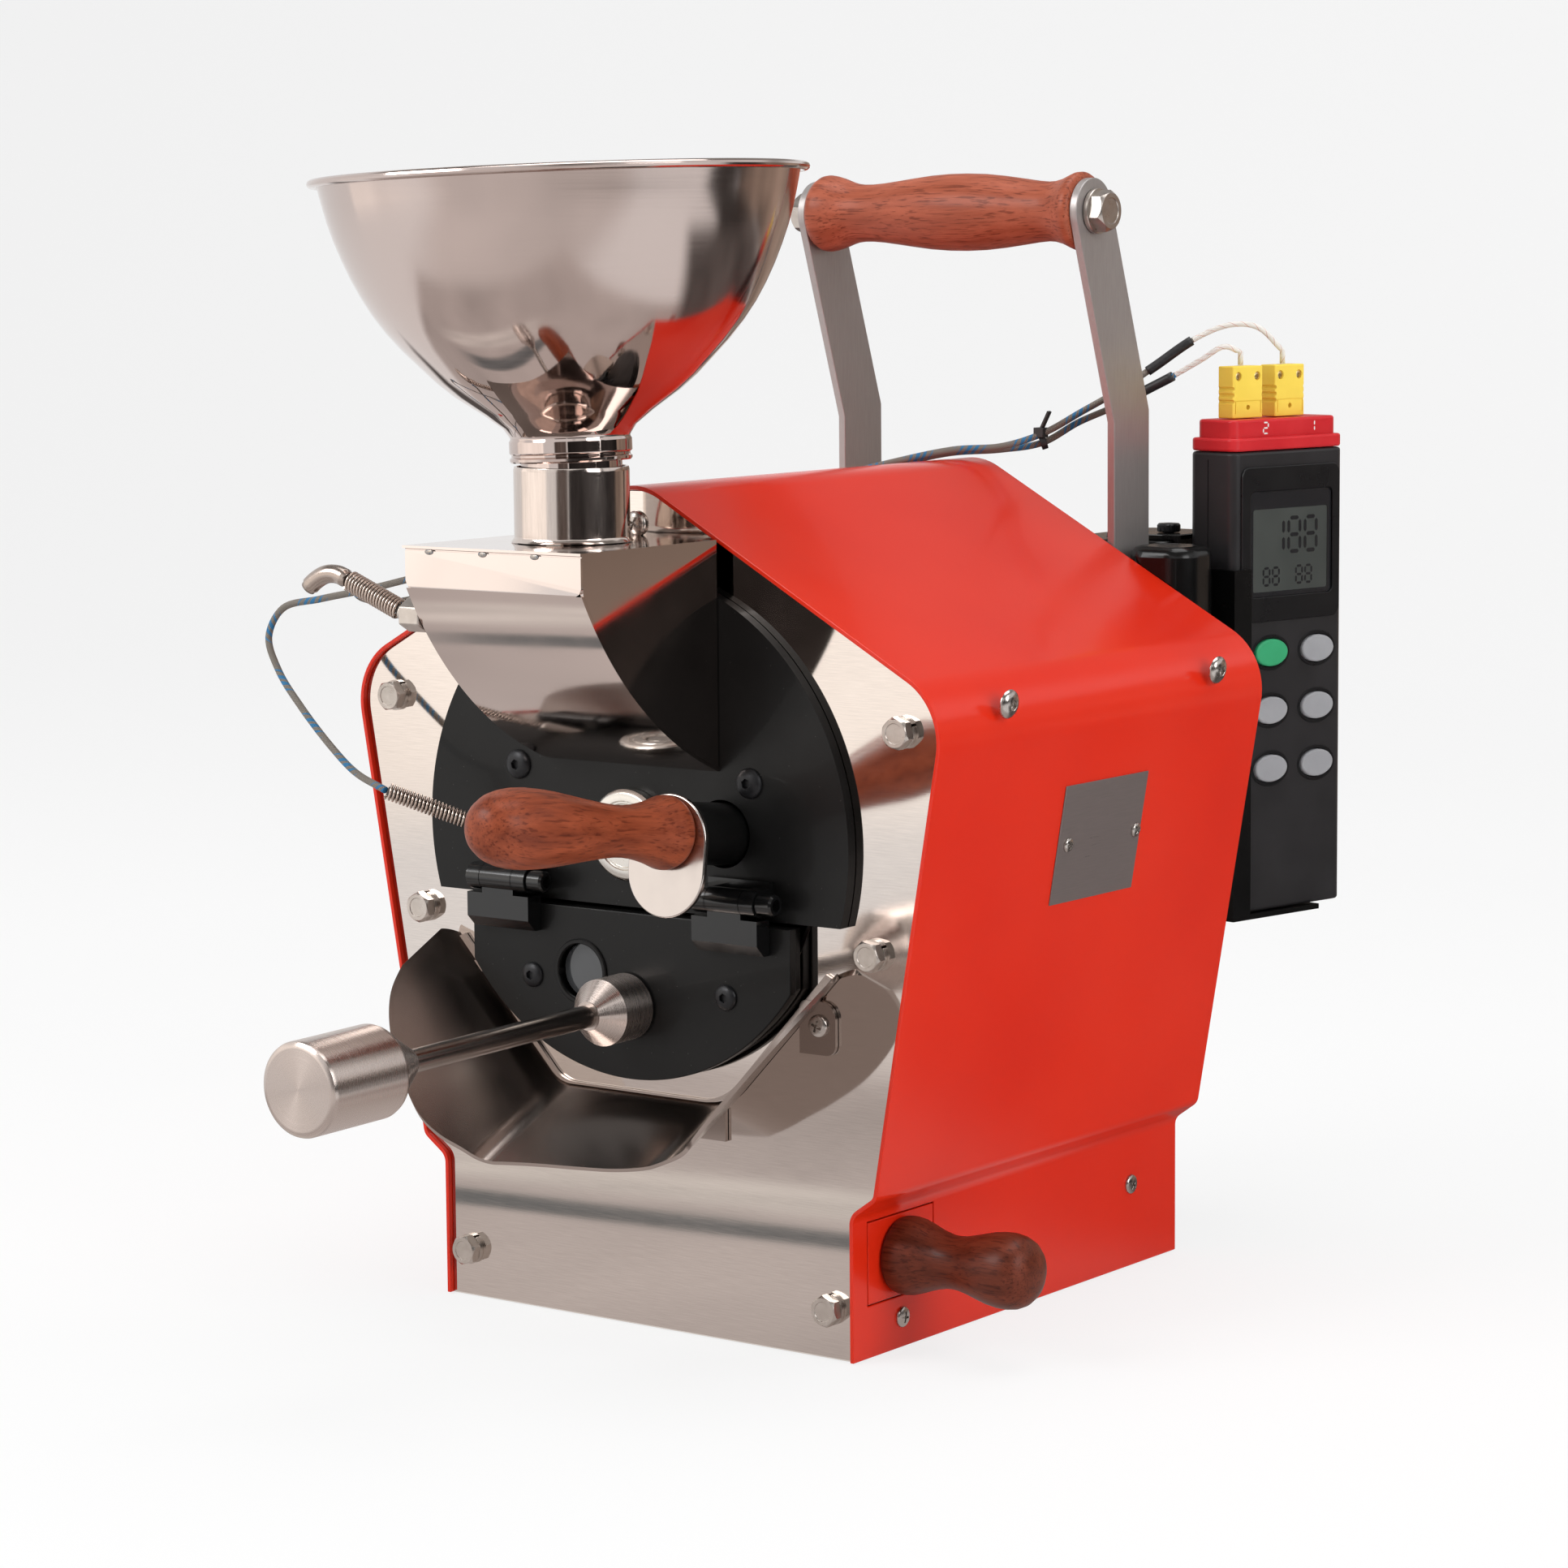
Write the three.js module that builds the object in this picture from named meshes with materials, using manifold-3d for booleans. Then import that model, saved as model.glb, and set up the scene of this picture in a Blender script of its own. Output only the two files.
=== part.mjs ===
// A countertop drum roaster for coffee beans, built as an assembly of separate pieces.
// Millimetres. X runs to the right seen from the front, Y to the rear, Z up.
// The front plate's face lies at Y = 0 and the base stands on Z = 0.
import * as THREE from 'three';
import { mergeVertices } from 'three/addons/utils/BufferGeometryUtils.js';
import Module from 'manifold-3d';

const wasm = await Module();
wasm.setup();

// Clearances shared by all pieces
const seat = 0.3;
const overrun = 1;
const weldTolerance = 0.0001;

// Housing outline and sheets
const baseHalf = 93.5;
const baseTop = 51.8;
const flareHalf = 103.5;
const flareTop = 59;
const shoulderHalf = 133.8;
const shoulderTop = 233.1;
const ridgeTop = 307.4;
const shoulderRadius = 25;
const ridgeRadius = 25;
const flareRadius = 5;
const housingDepth = 211;
const coverLip = 2;
const coverGauge = 1.6;
const plateGauge = 2;
const rearInset = 2;
const drumAxisZ = 180;
const drumOpening = 80;
const shaftHole = 8;

// Base frame
const frameFlange = 14;
const frameGauge = 2;
const frameUpstand = 17;

// Drum, shaft and gears
const drumRadius = 76;
const drumGauge = 1.5;
const drumFrontGap = 4.5;
const drumRearGap = 6;
const drumEndGauge = 2;
const vaneHeight = 14;
const vaneGauge = 2;
const vaneCount = 3;
const vaneEndGap = 12;
const shaftRadius = 6;
const shaftProud = 4;
const bearingRadius = 16.5;
const bearingLength = 5;
const bearingChamfer = 1.2;
const gearModule = 2.1;
const gearTeeth = 30;
const pinionTeeth = 12;
const gearWidth = 8;
const gearGap = 2;
const toothRise = 1.3;
const toothFall = 2.3;
const pinionTurn = 16;
const pinionShaft = 4;

// Gear guard, motor box and control box at the rear
const guardLeft = 39;
const guardRight = 61;
const guardBottom = 141;
const guardTop = 218;
const guardDepth = 28;
const boxWall = 2;
const motorBoxLeft = 20;
const motorBoxRight = 72;
const motorBoxBottom = 150;
const motorBoxDepth = 45;
const boxTop = 271.5;
const boxCorner = 6;
const motorRadius = 19.5;
const motorCollar = 2;
const motorLength = 34;
const controlLeft = 68;
const controlRight = 97;
const controlDepth = 26.5;
const controlCorner = 10;
const controlFootTop = 235;
const panelLeft = 23;
const panelRight = 69;
const panelBottom = 156;
const panelTop = 188;
const panelDepth = 6.5;
const inletX = 37.5;
const inletWidth = 20;
const inletHeight = 26;
const inletRecess = 5.4;
const rockerX = 58.5;
const rockerWidth = 12;
const rockerHeight = 19;
const rockerDepth = 3;
const rockerProud = 1.6;
const rockerLean = 7;
const rockerClear = 0.6;

// Face disc, trier tube and its handle
const discRadius = 94.5;
const discGauge = 4.2;
const discCut = 153.7;
const discInletHalf = 28;
const discInletBottom = 212;
const discInletTop = 236;
const trierX = 40;
const trierZ = 183;
const trierTilt = 7.5;
const trierTubeRadius = 11;
const trierTubeBore = 9.7;
const trierTubeOut = 28.5;
const trierTubeIn = 12;
const trierSlack = 1.1;
const flangeHalf = 16.5;
const flangeStraight = 10;
const flangeDrop = 8;
const flangeGauge = 2.2;
const handleLength = 101;
const handleEnd = 13;
const handleNeck = 9;
const handleBulb = 13.7;
const handleTip = 4;
const scoopRadius = 8.6;
const scoopGauge = 1;
const scoopPlug = 12;
const scoopLength = 138;

// Hopper box, inlet tube and funnel
const hopperHalf = 39;
const hopperTop = 286.2;
const hopperGauge = 1.2;
const hopperReach = 79.5;
const hopperLip = 14;
const hopperFoot = 205;
const hopperSweep = 141.6;
const tongueHalf = 32;
const tubeRadius = 20.2;
const tubeGauge = 1.2;
const tubeLength = 25.9;
const tubeY = -36;
const funnelTilt = 2.2;
const funnelStand = 1.7;
const spigotRadius = 17.7;
const spigotLength = 20;
const spigotGauge = 1;
const collarRadius = 21.4;
const collarHeight = 9;
const bowlRadius = 83;
const bowlHeight = 88;
const bowlGauge = 1.1;
const beadWidth = 3.6;
const beadHeight = 2.6;

// Discharge chute
const chuteHalf = 38;
const chuteTop = 85.7;
const chuteSlope = 26;
const chuteSpread = 46.7;
const chuteGauge = 1.5;
const chuteReach = 48;
const flankReach = 63.6;
const flankHeight = 76;

// Discharge door, its hinges and its weighted lever
const doorHalf = 72;
const doorRadius = 88;
const doorTop = 152.3;
const doorFace = 8.3;
const doorBack = 0.6;
const glassX = -21.5;
const glassZ = 129;
const glassRadius = 10.5;
const glassGauge = 2;
const pinY = -12.8;
const pinZ = 161;
const pinRadius = 2.3;
const knuckleRadius = 4.8;
const knuckleGap = 0.3;
const middleKnuckle = 14.5;
const sideKnuckle = 6;
const pinHead = 3.9;
const pinHeadLength = 7;
const leafHalf = 14.3;
const leafTop = 155.3;
const leafBottom = 142.5;
const leafProud = 7.3;
const leafChamfer = 4;
const leafShift = 4.8;
const bracketGauge = 2.2;
const bracketBottom = 156.6;
const bracketTop = 168;
const hingeX = 54;
const leverZ = 118.6;
const leverDroop = 0.9;
const bossRadius = 12;
const bossLength = 15.5;
const bossCone = 7.5;
const coneTip = 4.9;
const rodRadius = 4.1;
const rodEnd = 118;
const weightRadius = 16.2;
const weightCone = 17.5;
const weightLength = 37;
const weightNeck = 5;
const weightShoulder = 14.4;
const weightChamfer = 1.8;

// Chaff drawer
const drawerFront = 7.1;
const drawerRear = 46.9;
const drawerBottom = 19.2;
const drawerTop = 48.4;
const drawerGap = 0.5;
const trayInset = 2;
const trayGauge = 1;
const trayLength = 150;
const runnerGauge = 1.2;
const runnerHeight = 12;
const runnerLegs = 5;
const knobLength = 57;
const knobBase = 14;
const knobNeck = 9.4;
const knobBulb = 13.4;

// Carrying handle
const strapOuter = 65;
const strapGauge = 3.2;
const strapWidth = 25;
const strapBehind = 0.6;
const strapFoot = 220;
const strapKink = 320.5;
const gripForward = 26.6;
const gripZ = 398.7;
const footPlateWidth = 25;
const footPlateTop = 262;
const footPlateGauge = 3;
const gripEnd = 14.9;
const gripNeck = 11.1;
const gripBelly = 14.8;
const gripBore = 4.5;
const boltRadius = 4;
const boltHeadFlats = 14;
const boltHeadHeight = 5.6;
const washerRadius = 8.6;
const washerGauge = 2;

// Logging thermometer, its bracket and its holster
const meterTurn = 11;
const meterWidth = 64;
const meterThick = 24;
const meterBodyTop = 179.2;
const meterCapTop = 191.2;
const meterFoot = 127.5;
const meterCorner = 4;
const capInset = 2;
const capBeadTop = 5;
const holsterWall = 2;
const holsterHeight = 134;
const holsterLip = 7.6;
const holsterBackShare = 0.75;
const bracketLeft = 40;
const bracketRight = 74.3;
const bracketBehind = 5.4;
const bracketWidth = 34;
const bracketPlate = 2;
const bracketLeg = 72;
const clampX = 62;
const clampBehind = 13;
const clampRadius = 4.6;
const clampHeight = 3.4;
const clampShank = 2;
const clampShankLength = 1.7;
const buttonNearY = 21;
const buttonFarY = 48;
const buttonTopZ = 100.8;
const buttonMidZ = 78.3;
const buttonLowZ = 55.6;
const buttonHalfY = 9.2;
const buttonHalfZ = 5.3;
const buttonProud = 1.3;
const buttonDepth = 1.6;
const buttonTravel = 0.9;
const buttonClear = 0.4;
const plugWidth = 17;
const plugThick = 8;
const plugHeight = 20;
const plugNearY = 16.5;
const plugFarY = 40.8;
const plugX = -12;
const plugShoulderShare = 0.42;

// Temperature probes and their leads
const upperProbeY = -68;
const upperProbeZ = 261;
const hexFlats = 10.5;
const hexLength = 9;
const probeStub = 3;
const lowerProbeX = -50;
const lowerProbeZ = 173.6;
const lowerFitting = 4;
const lowerFittingLength = 10;
const lowerLength = 43;
const upperSpringLength = 26;
const springWire = 0.45;
const upperSpringRadius = 3.5;
const upperSpringTurns = 13;
const lowerSpringRadius = 2.8;
const lowerSpringTurns = 18;
const sleeveRadius = 3.3;
const leadRadius = 1.3;
const leadDrop = 5;
const upperLeadX = -78.5;
const upperLeadZ = 270;

// Small shared helpers

function degrees(angle) {
  return THREE.MathUtils.degToRad(angle);
}

// Strips a geometry to welded positions, drops slivers and turns its faces outward
function closed(geometry) {
  const bare = geometry.clone();
  bare.deleteAttribute('normal');
  bare.deleteAttribute('uv');
  const welded = mergeVertices(bare, weldTolerance);
  const index = [];
  for (let i = 0; i < welded.index.count; i += 3) {
    const corner = [0, 1, 2].map((k) => welded.index.getX(i + k));
    if (new Set(corner).size === 3) index.push(...corner);
  }
  const at = welded.attributes.position;
  const a = new THREE.Vector3();
  const b = new THREE.Vector3();
  const c = new THREE.Vector3();
  let volume = 0;
  for (let i = 0; i < index.length; i += 3) {
    a.fromBufferAttribute(at, index[i]);
    b.fromBufferAttribute(at, index[i + 1]);
    c.fromBufferAttribute(at, index[i + 2]);
    volume += a.dot(b.cross(c));
  }
  if (volume < 0) {
    for (let i = 0; i < index.length; i += 3) {
      [index[i + 1], index[i + 2]] = [index[i + 2], index[i + 1]];
    }
  }
  welded.setIndex(index);
  return welded;
}

function solid(geometry) {
  const g = closed(geometry);
  return new wasm.Manifold(new wasm.Mesh({
    numProp: 3,
    vertProperties: new Float32Array(g.attributes.position.array),
    triVerts: new Uint32Array(g.index.array),
  }));
}

function fromSolid(body) {
  const mesh = body.getMesh();
  const geometry = new THREE.BufferGeometry();
  geometry.setAttribute('position', new THREE.BufferAttribute(new Float32Array(mesh.vertProperties), 3));
  geometry.setIndex([...mesh.triVerts]);
  return geometry;
}

function join(...geometries) {
  return fromSolid(geometries.map(solid).reduce((all, next) => all.add(next)));
}

function cut(base, ...tools) {
  return fromSolid(tools.map(solid).reduce((all, next) => all.subtract(next), solid(base)));
}

function block(x0, x1, y0, y1, z0, z1) {
  const g = new THREE.BoxGeometry(x1 - x0, y1 - y0, z1 - z0);
  return closed(g.translate((x0 + x1) / 2, (y0 + y1) / 2, (z0 + z1) / 2));
}

// Maps a geometry's own axes to three directions, then moves it
function placed(geometry, xAxis, yAxis, zAxis, origin = new THREE.Vector3()) {
  const matrix = new THREE.Matrix4().makeBasis(xAxis, yAxis, zAxis).setPosition(origin);
  return closed(geometry.clone().applyMatrix4(matrix));
}

const alongX = new THREE.Vector3(1, 0, 0);
const alongY = new THREE.Vector3(0, 1, 0);
const alongZ = new THREE.Vector3(0, 0, 1);

function prism(shape, length, curveSegments = 12) {
  return new THREE.ExtrudeGeometry(shape, { depth: length, bevelEnabled: false, curveSegments });
}

// A flat shape drawn in X and Z, made solid from y0 to y1
function plateXZ(shape, y0, y1, curveSegments) {
  const g = prism(shape, y1 - y0, curveSegments).rotateX(Math.PI / 2);
  return closed(g.translate(0, y1, 0));
}

// A flat shape drawn in Y and Z, made solid from x0 to x1
function plateYZ(shape, x0, x1, curveSegments) {
  return placed(prism(shape, x1 - x0, curveSegments), alongY, alongZ, alongX, new THREE.Vector3(x0, 0, 0));
}

// A flat shape drawn in X and Y, made solid from z0 to z1
function plateXY(shape, z0, z1, curveSegments) {
  return closed(prism(shape, z1 - z0, curveSegments).translate(0, 0, z0));
}

// A turned piece: pairs of radius and distance along the axis
function turned(profile, direction, origin, segments = 32) {
  const points = profile.map(([r, d]) => new THREE.Vector2(r, d));
  const side = Math.abs(direction.z) > Math.SQRT1_2 ? alongX : alongZ;
  const first = new THREE.Vector3().crossVectors(side, direction).normalize();
  const second = new THREE.Vector3().crossVectors(first, direction);
  return placed(new THREE.LatheGeometry(points, segments), first, direction, second, origin);
}

function cylinder(radius, from, to, segments = 32) {
  const direction = to.clone().sub(from);
  const length = direction.length();
  return turned([[0, 0], [radius, 0], [radius, length], [0, length]], direction.normalize(), from, segments);
}

function tube(radius, bore, from, to, segments = 32) {
  const direction = to.clone().sub(from);
  const length = direction.length();
  const profile = [[bore, 0], [radius, 0], [radius, length], [bore, length], [bore, 0]];
  return turned(profile, direction.normalize(), from, segments);
}

function point(x, y, z) {
  return new THREE.Vector3(x, y, z);
}

function shapeOf(points) {
  return new THREE.Shape(points.map(([x, y]) => new THREE.Vector2(x, y)));
}

function circleHole(shape, x, y, radius) {
  shape.holes.push(new THREE.Path().absarc(x, y, radius, 0, 2 * Math.PI, true));
  return shape;
}

// Offsets a polygon inward by a distance and rounds each corner by its radius
function roundedOutline(corners, inset, steps = 5) {
  const n = corners.length;
  const lines = corners.map(([x, y], i) => {
    const [nx, ny] = corners[(i + 1) % n];
    const d = new THREE.Vector2(nx - x, ny - y).normalize();
    return { p: new THREE.Vector2(x - d.y * inset, y + d.x * inset), d };
  });
  const meets = lines.map((line, i) => {
    const before = lines[(i + n - 1) % n];
    const gap = line.p.clone().sub(before.p);
    const t = gap.cross(line.d) / before.d.cross(line.d);
    return before.p.clone().addScaledVector(before.d, t);
  });
  const outline = [];
  corners.forEach(([, , radius], i) => {
    const into = lines[(i + n - 1) % n].d;
    const out = lines[i].d;
    const turn = Math.atan2(into.cross(out), into.dot(out));
    const size = radius ? Math.max(radius - Math.sign(turn) * inset, 0) : 0;
    if (size === 0) {
      outline.push(meets[i]);
      return;
    }
    const reach = size * Math.tan(Math.abs(turn) / 2);
    const start = meets[i].clone().addScaledVector(into, -reach);
    const inward = new THREE.Vector2(-into.y, into.x).multiplyScalar(Math.sign(turn));
    const centre = start.clone().addScaledVector(inward, size);
    for (let k = 0; k <= steps; k += 1) {
      outline.push(start.clone().rotateAround(centre, (turn * k) / steps));
    }
  });
  return outline;
}

const roaster = new THREE.Group();

function finish(color, roughness, metalness) {
  return new THREE.MeshStandardMaterial({ color, roughness, metalness });
}

function piece(name, geometry, material, parent = roaster) {
  const mesh = new THREE.Mesh(closed(geometry), material.clone());
  mesh.name = name;
  parent.add(mesh);
  return mesh;
}

const redPaint = finish(0xd63a20, 0.3, 0.1);
const brightSteel = finish(0xc9c6c2, 0.18, 1);
const brushedSteel = finish(0xa7a29d, 0.4, 1);
const blackPaint = finish(0x1c1c1d, 0.45, 0.2);
const blackPlastic = finish(0x26272a, 0.55, 0);
const darkIron = finish(0x4a4642, 0.6, 0.9);
const oiledWood = finish(0x8a3f2a, 0.45, 0);

// Housing cover: one bent sheet, open at the bottom, with a window for the drawer
const housingCorners = [
  [baseHalf, 0, 0],
  [baseHalf, baseTop, flareRadius],
  [flareHalf, flareTop, flareRadius],
  [shoulderHalf, shoulderTop, shoulderRadius],
  [0, ridgeTop, ridgeRadius],
  [-shoulderHalf, shoulderTop, shoulderRadius],
  [-flareHalf, flareTop, flareRadius],
  [-baseHalf, baseTop, flareRadius],
  [-baseHalf, 0, 0],
];
const outerSkin = roundedOutline(housingCorners, 0);
const innerSkin = roundedOutline(housingCorners, coverGauge);
for (const end of [0, innerSkin.length - 1]) innerSkin[end].y = 0;
const coverShape = new THREE.Shape([...outerSkin, ...innerSkin.reverse()]);
const coverSheet = plateXZ(coverShape, -coverLip, housingDepth);
const drawerWindow = block(
  baseHalf - coverGauge - overrun,
  baseHalf + overrun,
  drawerFront - drawerGap,
  drawerRear + drawerGap,
  drawerBottom - drawerGap,
  drawerTop + drawerGap,
);
piece('cover', cut(coverSheet, drawerWindow), redPaint);

// Front and rear plates fill the cover's two ends
const plateInset = coverGauge + seat;
function endPlateShape() {
  const outline = roundedOutline(housingCorners, plateInset);
  for (const end of [0, outline.length - 1]) outline[end].y = 0;
  return new THREE.Shape(outline);
}
const frontShape = circleHole(endPlateShape(), 0, drumAxisZ, drumOpening);
piece('front_plate', plateXZ(frontShape, 0, plateGauge, 18), brightSteel);
const rearPlateBack = housingDepth - rearInset;
const rearPlateFront = rearPlateBack - plateGauge;
const rearShape = circleHole(endPlateShape(), 0, drumAxisZ, shaftHole);
piece('rear_plate', plateXZ(rearShape, rearPlateFront, rearPlateBack), brightSteel);

// Base frame: a flat ring with two upstands that the cover is screwed to
const frameHalf = baseHalf - plateInset;
const frameFront = plateGauge + seat;
const frameRear = rearPlateFront - seat;
const frameRing = cut(
  block(-frameHalf, frameHalf, frameFront, frameRear, 0, frameGauge),
  block(
    -frameHalf + frameFlange,
    frameHalf - frameFlange,
    frameFront + frameFlange,
    frameRear - frameFlange,
    -overrun,
    frameGauge + overrun,
  ),
);
const upstands = [-1, 1].map((side) => {
  const outer = side * frameHalf;
  const inner = outer - side * frameGauge;
  return block(Math.min(outer, inner), Math.max(outer, inner), frameFront, frameRear, 0, frameUpstand);
});
piece('base_frame', join(frameRing, ...upstands), brushedSteel);

// Face disc: the painted upper closure of the drum opening
const discBack = -seat;
const discFace = discBack - discGauge;
const discLean = Math.asin((discCut - drumAxisZ) / discRadius);
const discShape = new THREE.Shape().absarc(0, drumAxisZ, discRadius, discLean, Math.PI - discLean, false);
discShape.closePath();
circleHole(discShape, 0, drumAxisZ, shaftHole);
circleHole(discShape, trierX, trierZ, trierTubeRadius + trierSlack);
discShape.holes.push(new THREE.Path([
  new THREE.Vector2(-discInletHalf, discInletBottom),
  new THREE.Vector2(-discInletHalf, discInletTop),
  new THREE.Vector2(discInletHalf, discInletTop),
  new THREE.Vector2(discInletHalf, discInletBottom),
]));
piece('face_disc', plateXZ(discShape, discFace, discBack, 16), blackPaint);

// Bearings: one on the face disc, one on the rear plate
function bearing(name, from, towards) {
  const bore = shaftRadius + seat;
  const profile = [
    [bore, 0],
    [bearingRadius, 0],
    [bearingRadius, bearingLength - bearingChamfer],
    [bearingRadius - bearingChamfer, bearingLength],
    [bore, bearingLength],
    [bore, 0],
  ];
  piece(name, turned(profile, towards, point(0, from, drumAxisZ), 24), brightSteel);
}
const frontBearingBack = discFace - seat;
const rearBearingFront = rearPlateBack + seat;
bearing('front_bearing', frontBearingBack, point(0, -1, 0));
bearing('rear_bearing', rearBearingFront, alongY);

// Drum: an open-fronted shell with three lifting vanes, welded to its rear end
const drumFront = plateGauge + drumFrontGap;
const drumRear = rearPlateFront - drumRearGap;
const hubBore = shaftRadius + seat;
const shellProfile = [
  [hubBore, drumRear - drumEndGauge],
  [drumRadius - drumGauge, drumRear - drumEndGauge],
  [drumRadius - drumGauge, drumFront],
  [drumRadius, drumFront],
  [drumRadius, drumRear],
  [hubBore, drumRear],
  [hubBore, drumRear - drumEndGauge],
];
const shell = turned(shellProfile, alongY, point(0, 0, drumAxisZ), 36);
const vanes = Array.from({ length: vaneCount }, (_, i) => {
  const foot = drumRadius - drumGauge / 2;
  const bar = new THREE.BoxGeometry(vaneHeight, drumRear - drumFront - 2 * vaneEndGap, vaneGauge);
  bar.translate(foot - vaneHeight / 2, (drumFront + drumRear) / 2, 0);
  bar.rotateY((2 * Math.PI * i) / vaneCount);
  return bar.translate(0, 0, drumAxisZ);
});
piece('drum_shell', join(shell, ...vanes), darkIron);

// Drum shaft, from the front bearing to the drive gear
const gearFront = rearBearingFront + bearingLength + gearGap;
const gearBack = gearFront + gearWidth;
const shaftFront = frontBearingBack - shaftProud;
const shaftBack = gearBack + gearGap;
piece(
  'drum_shaft',
  cylinder(shaftRadius, point(0, shaftFront, drumAxisZ), point(0, shaftBack, drumAxisZ), 24),
  brushedSteel,
);

// Spur gears: trapezoid teeth, with a wide backlash
function gearShape(teeth, phase, bore) {
  const pitch = (gearModule * teeth) / 2;
  const tooth = (2 * Math.PI) / teeth;
  const tipShare = 0.11;
  const rootShare = 0.2;
  const points = [];
  for (let i = 0; i < teeth; i += 1) {
    const centre = phase + i * tooth;
    for (const [radius, share] of [
      [pitch - toothFall, -rootShare],
      [pitch + toothRise, -tipShare],
      [pitch + toothRise, tipShare],
      [pitch - toothFall, rootShare],
    ]) {
      const angle = centre + share * tooth;
      points.push(new THREE.Vector2(radius * Math.cos(angle), radius * Math.sin(angle)));
    }
  }
  const shape = new THREE.Shape(points);
  if (bore > 0) circleHole(shape, 0, 0, bore);
  return shape;
}
const meshAngle = degrees(pinionTurn);
const gearReach = (gearModule * (gearTeeth + pinionTeeth)) / 2;
const pinionX = gearReach * Math.cos(meshAngle);
const pinionZ = drumAxisZ + gearReach * Math.sin(meshAngle);
const wheel = plateXZ(gearShape(gearTeeth, meshAngle, hubBore), gearFront, gearBack);
piece('drive_gear', wheel.translate(0, 0, drumAxisZ), brushedSteel);

// Gear guard: an open-fronted box that covers both gears
const guardFront = rearPlateBack + seat;
const guardBack = guardFront + guardDepth;
const motorBoxFront = guardBack + seat;
const pinionSpan = gearBack - gearFront;
const halfPitch = Math.PI / pinionTeeth;
const pinionWheel = plateXZ(gearShape(pinionTeeth, meshAngle + Math.PI + halfPitch, 0), gearFront, gearBack);
pinionWheel.translate(pinionX, 0, pinionZ);
const pinionRod = cylinder(
  pinionShaft,
  point(pinionX, gearFront + pinionSpan / 2, pinionZ),
  point(pinionX, motorBoxFront + boxWall, pinionZ),
  16,
);
piece('motor_pinion', join(pinionWheel, pinionRod), brushedSteel);
const rodClear = cylinder(
  pinionShaft + gearGap,
  point(pinionX, guardFront, pinionZ),
  point(pinionX, motorBoxFront + boxWall + overrun, pinionZ),
  16,
);
const guardSkin = block(-guardLeft, guardRight, guardFront, guardBack, guardBottom, guardTop);
const guardHollow = block(
  -guardLeft + boxWall,
  guardRight - boxWall,
  guardFront - overrun,
  guardBack - boxWall,
  guardBottom + boxWall,
  guardTop - boxWall,
);
piece('gear_guard', cut(guardSkin, guardHollow, rodClear), blackPaint);

// Boxes with rounded upright corners
function roundedBox(x0, x1, y0, y1, z0, z1, radius) {
  const corners = [[x0, y0, radius], [x1, y0, radius], [x1, y1, radius], [x0, y1, radius]];
  return plateXY(new THREE.Shape(roundedOutline(corners, 0, 4)), z0, z1);
}
const motorBoxBack = motorBoxFront + motorBoxDepth;
const motorSkin = roundedBox(
  motorBoxLeft,
  motorBoxRight,
  motorBoxFront,
  motorBoxBack,
  motorBoxBottom,
  boxTop,
  boxCorner,
);
const motorHollow = block(
  motorBoxLeft + boxWall,
  motorBoxRight - boxWall,
  motorBoxFront + boxWall,
  motorBoxBack - boxWall,
  motorBoxBottom + boxWall,
  boxTop - boxWall,
);
piece('motor_box', cut(motorSkin, motorHollow, rodClear), blackPaint);
const motorRound = [
  [0, 0],
  [motorRadius - motorCollar, 0],
  [motorRadius - motorCollar, motorCollar],
  [motorRadius, motorCollar],
  [motorRadius, motorLength],
  [0, motorLength],
];
const motorFace = motorBoxFront + boxWall + seat;
piece('motor', turned(motorRound, alongY, point(pinionX, motorFace, pinionZ), 28), brushedSteel);
const controlFront = housingDepth + seat;
const controlBack = controlFront + controlDepth;
const controlBody = roundedBox(
  controlLeft,
  controlRight,
  controlFront,
  controlBack,
  motorBoxBottom,
  boxTop,
  controlCorner,
);
const controlFoot = block(
  controlLeft + boxWall,
  controlRight - controlCorner,
  guardFront,
  controlFront + boxWall,
  motorBoxBottom + controlCorner,
  controlFootTop,
);
piece('control_box', join(controlBody, controlFoot), blackPaint);

// Switch panel on the motor box's back, with the power socket and a rocker switch
const panelFront = motorBoxBack + seat;
const panelBack = panelFront + panelDepth;
const panelMidZ = (panelBottom + panelTop) / 2;
const panelSheet = block(panelLeft, panelRight, panelFront, panelBack, panelBottom, panelTop);
const inletHollow = block(
  inletX - inletWidth / 2,
  inletX + inletWidth / 2,
  panelBack - inletRecess,
  panelBack + overrun,
  panelMidZ - inletHeight / 2,
  panelMidZ + inletHeight / 2,
);
const rockerHollow = block(
  rockerX - rockerWidth / 2 - rockerClear,
  rockerX + rockerWidth / 2 + rockerClear,
  panelFront - overrun,
  panelBack + overrun,
  panelMidZ - rockerHeight / 2 - rockerClear,
  panelMidZ + rockerHeight / 2 + rockerClear,
);
piece('switch_panel', cut(panelSheet, inletHollow, rockerHollow), blackPlastic);
const rockerSeat = new THREE.Group();
rockerSeat.position.set(rockerX, panelBack + rockerProud - rockerDepth / 2, panelMidZ);
rockerSeat.rotation.x = degrees(-rockerLean);
roaster.add(rockerSeat);
const rockerBlock = block(
  -rockerWidth / 2,
  rockerWidth / 2,
  -rockerDepth / 2,
  rockerDepth / 2,
  -rockerHeight / 2,
  rockerHeight / 2,
);
piece('rocker', rockerBlock, blackPlastic, rockerSeat);

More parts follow.
